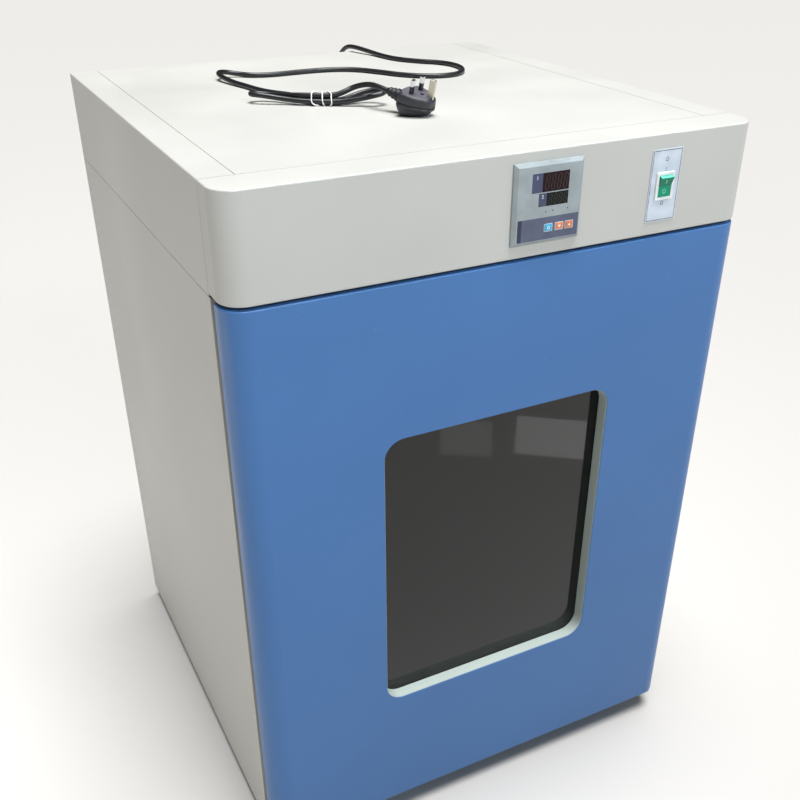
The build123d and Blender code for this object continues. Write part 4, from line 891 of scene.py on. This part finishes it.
def segments(x, z, width, height, lean=0.12, stroke=0.16):
    """The seven bars of a digit as quads of x and z."""
    half = height / 2
    bar = width * stroke
    gap = bar * 0.35
    quads = []
    for level in (0, half, height):
        quads.append([(gap + bar, level - bar / 2), (width - gap - bar, level - bar / 2),
                      (width - gap - bar, level + bar / 2), (gap + bar, level + bar / 2)])
    for side in (0, width - bar):
        for base in (0, half):
            quads.append([(side, base + gap + bar / 2), (side + bar, base + gap + bar / 2),
                          (side + bar, base + half - gap - bar / 2), (side, base + half - gap - bar / 2)])
    return [[(x + u + lean * v, z + v) for u, v in quad] for quad in quads]


def figure(printer, text, x, z, size, y, material, body_thickness):
    """A plain numeral printed on a face that looks to the front, its middle at x and z."""
    data = bpy.data.curves.new("figure", "FONT")
    data.body = text
    data.size = size
    data.align_x = "CENTER"
    data.align_y = "CENTER"
    data.resolution_u = 2
    data.extrude = body_thickness / 2
    holder = bpy.data.objects.new("figure", data)
    bpy.context.scene.collection.objects.link(holder)
    bpy.context.view_layer.update()
    mesh = bpy.data.meshes.new_from_object(holder.evaluated_get(bpy.context.evaluated_depsgraph_get()))
    bpy.data.objects.remove(holder)
    mesh.transform(front_place(x, y - body_thickness / 2, z))
    known = set(printer.bm.faces)
    printer.bm.from_mesh(mesh)
    bmesh.ops.remove_doubles(printer.bm, verts=printer.bm.verts, dist=1e-7)
    printer.mark({face for face in known if face.is_valid}, material)
    bpy.data.meshes.remove(mesh)


PRINT_RISE = 0.00006
CONTROL_X = 0.0395
CONTROL_Z = 0.9545
CONTROL_FACE = -0.362945
KEY_FACE = CONTROL_FACE - 0.001
SWITCH_X = 0.2145
SWITCH_Z = 0.9512
PLATE_FACE = -0.357945
FRONT = Vector((0, -1, 0))


class INCUBATOR_OT_controller(bpy.types.Operator):
    """Makes the controller's printed face, its idle digits and the symbols on its keys"""
    bl_idname = "incubator.controller"
    bl_label = "Controller face"

    def execute(self, context):
        settings = context.scene.incubator_control
        displays = nodes["controller_displays"]
        displays.data.materials.clear()
        displays.data.materials.append(MATERIALS["display_window"])
        displays.data.materials.append(MATERIALS["setpoint_window"])
        for face in displays.data.polygons:
            face.material_index = 1 if face.center.z < CONTROL_Z + 0.0124 else 0
        names = ["slate_label", "slate_band", "band_dark", "print_white", "ghost_red", "ghost_green", "dot_dark",
                 "key_border"]
        printer = Print(names)
        self.area(printer, -0.0249, -0.0105, 0.0131, 0.0353, "slate_label")
        self.area(printer, -0.0143, -0.0036, -0.0036, 0.0117, "slate_label")
        # The band is drawn in its colour with a painted reflection; the dark block at its left end has none.
        self.area(printer, -0.0418, 0.0451 - 0.0013, -0.0441 + 0.0006, -0.0168, "slate_band")
        self.area(printer, -0.0418, -0.0362, -0.0441 + 0.0006, -0.0168, "band_dark", 1.6)
        for x, z in ((-0.0036, -0.0103), (0.0063, -0.0098), (0.0271, -0.0098)):
            self.dot(printer, x, z, 0.0009)
        figure(printer, "1", CONTROL_X - 0.0180, CONTROL_Z + 0.0302, 0.0065, CONTROL_FACE - PRINT_RISE, "print_white",
               PRINT_RISE)
        figure(printer, "2", CONTROL_X - 0.0092, CONTROL_Z + 0.0075, 0.0058, CONTROL_FACE - PRINT_RISE, "print_white",
               PRINT_RISE)
        self.digits(printer, settings.digits, -0.0082, 0.0252, 0.0160, 0.0325, "ghost_red")
        self.digits(printer, settings.digits, -0.0018, 0.0258, -0.0014, 0.0096, "ghost_green")
        for x in (0.0015, 0.0170, 0.0310):
            outer = round_outline(0.0119, 0.0097, 0.0012, 3)
            inner = round_outline(0.0104, 0.0082, 0.0006, 3)
            place = front_place(CONTROL_X + x, CONTROL_FACE - PRINT_RISE, CONTROL_Z - 0.0298)
            printer.band(outer, inner, place, FRONT, PRINT_RISE, "key_border")
        printer.piece("controller_print", "cabinet")
        self.key("set_key_mark", "set_key", 0.0015, "set")
        self.key("down_key_mark", "down_key", 0.0170, "down")
        self.key("up_key_mark", "up_key", 0.0310, "up")
        return {"FINISHED"}

    def area(self, printer, x0, x1, z0, z1, material, layers=1.0):
        corners = face_rectangle(CONTROL_X + x0, CONTROL_X + x1, CONTROL_Z + z0, CONTROL_Z + z1, CONTROL_FACE)
        printer.plate(corners, FRONT, PRINT_RISE * layers, material)

    def dot(self, printer, x, z, radius):
        corners = [(CONTROL_X + x + radius * cos(radians(30 * i)), CONTROL_FACE,
                    CONTROL_Z + z + radius * sin(radians(30 * i))) for i in range(12)]
        printer.plate(corners, FRONT, PRINT_RISE, "dot_dark")

    def digits(self, printer, count, x0, x1, z0, z1, material):
        """Unlit seven-bar digits behind a display window."""
        pitch = (x1 - x0) / count
        for index in range(count):
            for quad in segments(x0 + pitch * (index + 0.12), z0, pitch * 0.62, z1 - z0):
                corners = [(CONTROL_X + u, CONTROL_FACE, CONTROL_Z + v) for u, v in quad]
                printer.plate(corners, FRONT, PRINT_RISE * 0.5, material)

    def key(self, name, body, x, kind):
        """The white symbol of one key."""
        printer = Print(["print_white"])
        middle_x = CONTROL_X + x
        middle_z = CONTROL_Z - 0.0298
        if kind == "set":
            place = front_place(middle_x, KEY_FACE, middle_z)
            printer.band(round_outline(0.0036, 0.0036, 0.00179, 5), round_outline(0.0022, 0.0022, 0.00109, 5), place,
                         FRONT, PRINT_RISE, "print_white")
        else:
            sign = 1 if kind == "up" else -1
            corners = [(middle_x - 0.0019 * sign, KEY_FACE, middle_z - 0.0013 * sign),
                       (middle_x + 0.0019 * sign, KEY_FACE, middle_z - 0.0013 * sign),
                       (middle_x, KEY_FACE, middle_z + 0.0018 * sign)]
            printer.plate(corners, FRONT, PRINT_RISE, "print_white")
        printer.piece(name, body)


class INCUBATOR_OT_switch(bpy.types.Operator):
    """Makes the print round the mains switch and the marks on its rocker"""
    bl_idname = "incubator.switch"
    bl_label = "Mains switch"

    def execute(self, context):
        self.plate()
        self.marks()
        rocker = nodes["power_rocker"]
        rocker.data.materials.append(MATERIALS["rocker_light"])
        rocker.data.materials.append(MATERIALS["rocker_edge"])
        # Upward faces on the upper half get a painted highlight and the lower half a painted lit copy of the green;
        # the rest keeps the rocker's own green.
        for face in rocker.data.polygons:
            if face.normal.z > 0.6 and face.center.z > SWITCH_Z:
                face.material_index = 2
            elif face.center.z < SWITCH_Z - 0.0004:
                face.material_index = 1
        return {"FINISHED"}

    def plate(self):
        """A thin border, a power symbol and the on and off signs."""
        printer = Print(["print_grey"])
        middle_z = SWITCH_Z + 0.0004
        place = front_place(SWITCH_X, PLATE_FACE, middle_z)
        printer.band(round_outline(0.0438, 0.0869, 0.0004, 2), round_outline(0.0424, 0.0855, 0.0003, 2), place, FRONT,
                     PRINT_RISE, "print_grey")
        ring = front_place(SWITCH_X, PLATE_FACE, SWITCH_Z + 0.0328)
        arc_out = [(0.0026 * sin(radians(a)), 0.0026 * cos(radians(a))) for a in range(38, 323, 15)]
        arc_in = [(0.0019 * sin(radians(a)), 0.0019 * cos(radians(a))) for a in range(38, 323, 15)]
        for index in range(len(arc_out) - 1):
            quad = [arc_out[index], arc_in[index], arc_in[index + 1], arc_out[index + 1]]
            printer.plate([ring @ Vector((x, y, 0)) for x, y in quad], FRONT, PRINT_RISE, "print_grey")
        self.bar(printer, 0.0328 + 0.0021, 0.0007, 0.0027)
        self.bar(printer, 0.0211, 0.0008, 0.0048)
        oval = front_place(SWITCH_X, PLATE_FACE, SWITCH_Z - 0.0216)
        printer.band(round_outline(0.0040, 0.0052, 0.00195, 5), round_outline(0.0025, 0.0037, 0.0012, 5), oval, FRONT,
                     PRINT_RISE, "print_grey")
        printer.piece("switch_print", "cabinet")

    def bar(self, printer, z, width, height):
        corners = face_rectangle(SWITCH_X - width / 2, SWITCH_X + width / 2, SWITCH_Z + z - height / 2,
                                 SWITCH_Z + z + height / 2, PLATE_FACE)
        printer.plate(corners, FRONT, PRINT_RISE, "print_grey")

    def marks(self):
        """The white bar on the raised half of the rocker and the ring on its pressed half."""
        printer = Print(["rocker_mark"])
        low = Vector((SWITCH_X, -0.359451, SWITCH_Z - 0.00032))
        high = Vector((SWITCH_X, -0.364655, SWITCH_Z + 0.01137))
        slope = (high - low).normalized()
        out = Vector((1, 0, 0)).cross(slope).normalized()
        middle = low.lerp(high, 0.52) - out * 0.00002
        width = Vector((0.00055, 0, 0))
        length = slope * 0.0023
        printer.plate([middle - width - length, middle + width - length, middle + width + length,
                       middle - width + length], out, 0.00008, "rocker_mark")
        place = front_place(SWITCH_X, -0.359451 + 0.00002, SWITCH_Z - 0.0067)
        printer.band(round_outline(0.0050, 0.0056, 0.00245, 6), round_outline(0.0036, 0.0042, 0.00175, 6), place,
                     FRONT, 0.00008, "rocker_mark")
        printer.piece("rocker_marks", "rocker")


class INCUBATOR_OT_screws(bpy.types.Operator):
    """Makes the cabinet's screws with domed, cross-cut heads"""
    bl_idname = "incubator.screws"
    bl_label = "Cabinet screws"

    def execute(self, context):
        places = self.places()
        mesh = bpy.data.meshes.new("screw_places")
        mesh.from_pydata([place for place, out in places], [], [])
        turns = mesh.attributes.new("turn", "FLOAT_VECTOR", "POINT")
        for index, (place, out) in enumerate(places):
            turns.data[index].vector = out.to_track_quat("Z", "Y").to_euler()
        piece = bpy.data.objects.new("screw_heads", mesh)
        context.scene.collection.objects.link(piece)
        screw = self.screw()
        group = self.spread_group()
        modifier = piece.modifiers.new("screws", "NODES")
        modifier.node_group = group
        ids = {item.name: item.identifier for item in group.interface.items_tree if item.item_type == "SOCKET"}
        modifier[ids["Screw"]] = screw
        modifier[ids["Finish"]] = MATERIALS["zinc_steel"]
        settle(piece)
        bpy.data.objects.remove(screw)
        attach(piece, "cabinet")
        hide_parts("cabinet_screws")
        return {"FINISHED"}

    def places(self):
        """The seat and the outward direction of every screw, from its solid in the CAD node."""
        bm = bmesh.new()
        bm.from_mesh(nodes["cabinet_screws"].data)
        found = []
        left = set(bm.verts)
        for first in bm.verts:
            if first not in left:
                continue
            left.remove(first)
            stack = [first]
            island = [first]
            while stack:
                for edge in stack.pop().link_edges:
                    for vert in edge.verts:
                        if vert in left:
                            left.remove(vert)
                            stack.append(vert)
                            island.append(vert)
            found.append([vert.co.copy() for vert in island])
        bm.free()
        solids = []
        for points in found:
            low = Vector([min(p[i] for p in points) for i in range(3)])
            high = Vector([max(p[i] for p in points) for i in range(3)])
            # Boxes that touch are faces of one screw, so they are joined until none is left that touches
            joined = True
            while joined:
                joined = False
                for index, (near, far) in enumerate(solids):
                    if all(low[i] <= far[i] + 1e-5 and high[i] >= near[i] - 1e-5 for i in range(3)):
                        low = Vector([min(low[i], near[i]) for i in range(3)])
                        high = Vector([max(high[i], far[i]) for i in range(3)])
                        del solids[index]
                        joined = True
                        break
            solids.append((low, high))
        places = []
        for low, high in solids:
            size = high - low
            axis = max(range(3), key=lambda i: abs(size[i] - 0.0086) < 0.0004)
            middle = (low + high) / 2
            out = Vector((0, 0, 0))
            if axis == 2:
                out.z = 1
            elif middle.y > 0:
                out.y = 1
            else:
                out.y = -1
            seat = middle.copy()
            seat[axis] = (high[axis] - 0.0016) if out[axis] > 0 else (low[axis] + 0.0016)
            places.append((seat, out))
        return places

    def screw(self):
        """One screw along +Z with its seat at the origin."""
        profile = [(0.0, -0.007), (0.0016, -0.007), (0.002, -0.0066), (0.002, 0.0), (0.004, 0.0), (0.004, 0.0005),
                   (0.0037, 0.0010), (0.0029, 0.0014), (0.0016, 0.00158), (0.0, 0.0016)]
        count = 20
        bm = bmesh.new()
        rings = []
        for radius, z in profile:
            if radius == 0:
                rings.append([bm.verts.new((0, 0, z))])
            else:
                rings.append([bm.verts.new((radius * cos(2 * pi * i / count), radius * sin(2 * pi * i / count), z))
                              for i in range(count)])
        for low, high in zip(rings, rings[1:]):
            for index in range(count):
                step = (index + 1) % count
                if len(low) == 1:
                    bm.faces.new((low[0], high[step], high[index]))
                elif len(high) == 1:
                    bm.faces.new((low[index], low[step], high[0]))
                else:
                    bm.faces.new((low[index], low[step], high[step], high[index]))
        bmesh.ops.recalc_face_normals(bm, faces=bm.faces)
        mesh = bpy.data.meshes.new("screw")
        bm.to_mesh(mesh)
        bm.free()
        screw = bpy.data.objects.new("screw", mesh)
        bpy.context.scene.collection.objects.link(screw)
        cutters = []
        for turn in (0, 1):
            bm = bmesh.new()
            bmesh.ops.create_cube(bm, size=1)
            across = (0.0046, 0.0009) if turn == 0 else (0.0009, 0.0046)
            bmesh.ops.scale(bm, vec=(across[0], across[1], 0.0016), verts=bm.verts)
            bmesh.ops.translate(bm, vec=(0, 0, 0.0016), verts=bm.verts)
            cut = bpy.data.meshes.new("slot")
            bm.to_mesh(cut)
            bm.free()
            cutter = bpy.data.objects.new("slot", cut)
            bpy.context.scene.collection.objects.link(cutter)
            modifier = screw.modifiers.new("slot", "BOOLEAN")
            modifier.object = cutter
            modifier.operation = "DIFFERENCE"
            modifier.solver = "EXACT"
            cutters.append(cutter)
        settle(screw)
        for cutter in cutters:
            bpy.data.objects.remove(cutter)
        return screw

    def spread_group(self):
        """Geometry nodes that put a screw on every point, turned as the point says."""
        group = bpy.data.node_groups.new("Screws on points", "GeometryNodeTree")
        group.interface.new_socket(name="Geometry", in_out="INPUT", socket_type="NodeSocketGeometry")
        group.interface.new_socket(name="Screw", in_out="INPUT", socket_type="NodeSocketObject")
        group.interface.new_socket(name="Finish", in_out="INPUT", socket_type="NodeSocketMaterial")
        group.interface.new_socket(name="Geometry", in_out="OUTPUT", socket_type="NodeSocketGeometry")
        add = group.nodes.new
        link = group.links.new
        start = add("NodeGroupInput")
        end = add("NodeGroupOutput")
        points = add("GeometryNodeInstanceOnPoints")
        info = add("GeometryNodeObjectInfo")
        info.inputs["As Instance"].default_value = True
        turn = add("GeometryNodeInputNamedAttribute")
        turn.data_type = "FLOAT_VECTOR"
        turn.inputs["Name"].default_value = "turn"
        euler = add("FunctionNodeEulerToRotation")
        real = add("GeometryNodeRealizeInstances")
        finish = add("GeometryNodeSetMaterial")
        link(start.outputs["Geometry"], points.inputs["Points"])
        link(start.outputs["Screw"], info.inputs["Object"])
        link(info.outputs["Geometry"], points.inputs["Instance"])
        link(turn.outputs["Attribute"], euler.inputs["Euler"])
        link(euler.outputs["Rotation"], points.inputs["Rotation"])
        link(points.outputs["Instances"], real.inputs["Geometry"])
        link(real.outputs["Geometry"], finish.inputs["Geometry"])
        link(start.outputs["Finish"], finish.inputs["Material"])
        link(finish.outputs["Geometry"], end.inputs["Geometry"])
        return group


class INCUBATOR_PT_panel(bpy.types.Panel):
    """The incubator's settings and its operators"""
    bl_label = "Laboratory incubator"
    bl_idname = "INCUBATOR_PT_panel"
    bl_space_type = "VIEW_3D"
    bl_region_type = "UI"
    bl_category = "Incubator"

    def draw(self, context):
        layout = self.layout
        for title, name in GROUPS:
            box = layout.box()
            box.label(text=title)
            settings = getattr(context.scene, name)
            for label in settings.bl_rna.properties.keys():
                if label not in ("rna_type", "name"):
                    box.prop(settings, label)
        for operator in OPERATORS:
            layout.operator(operator.bl_idname)


GROUPS = [("Cabinet", "incubator_cabinet"), ("Cord", "incubator_cord"), ("Controls", "incubator_control"),
          ("Light", "incubator_light")]
SETTINGS = {"incubator_cabinet": CabinetSettings, "incubator_cord": CordSettings,
            "incubator_control": ControlSettings, "incubator_light": LightSettings}
OPERATORS = [INCUBATOR_OT_stage, INCUBATOR_OT_finishes, INCUBATOR_OT_plug, INCUBATOR_OT_cord,
             INCUBATOR_OT_controller, INCUBATOR_OT_switch, INCUBATOR_OT_screws]
CLASSES = [*SETTINGS.values(), *OPERATORS, INCUBATOR_PT_panel]


def register():
    for item in CLASSES:
        bpy.utils.register_class(item)
    for name, group in SETTINGS.items():
        setattr(bpy.types.Scene, name, PointerProperty(type=group))


def unregister():
    for name in SETTINGS:
        delattr(bpy.types.Scene, name)
    for item in reversed(CLASSES):
        bpy.utils.unregister_class(item)


def main():
    register()
    bpy.ops.incubator.stage()
    bpy.ops.incubator.finishes()
    bpy.ops.incubator.plug()
    bpy.ops.incubator.cord()
    bpy.ops.incubator.controller()
    bpy.ops.incubator.switch()
    bpy.ops.incubator.screws()


if __name__ == "__main__":
    main()
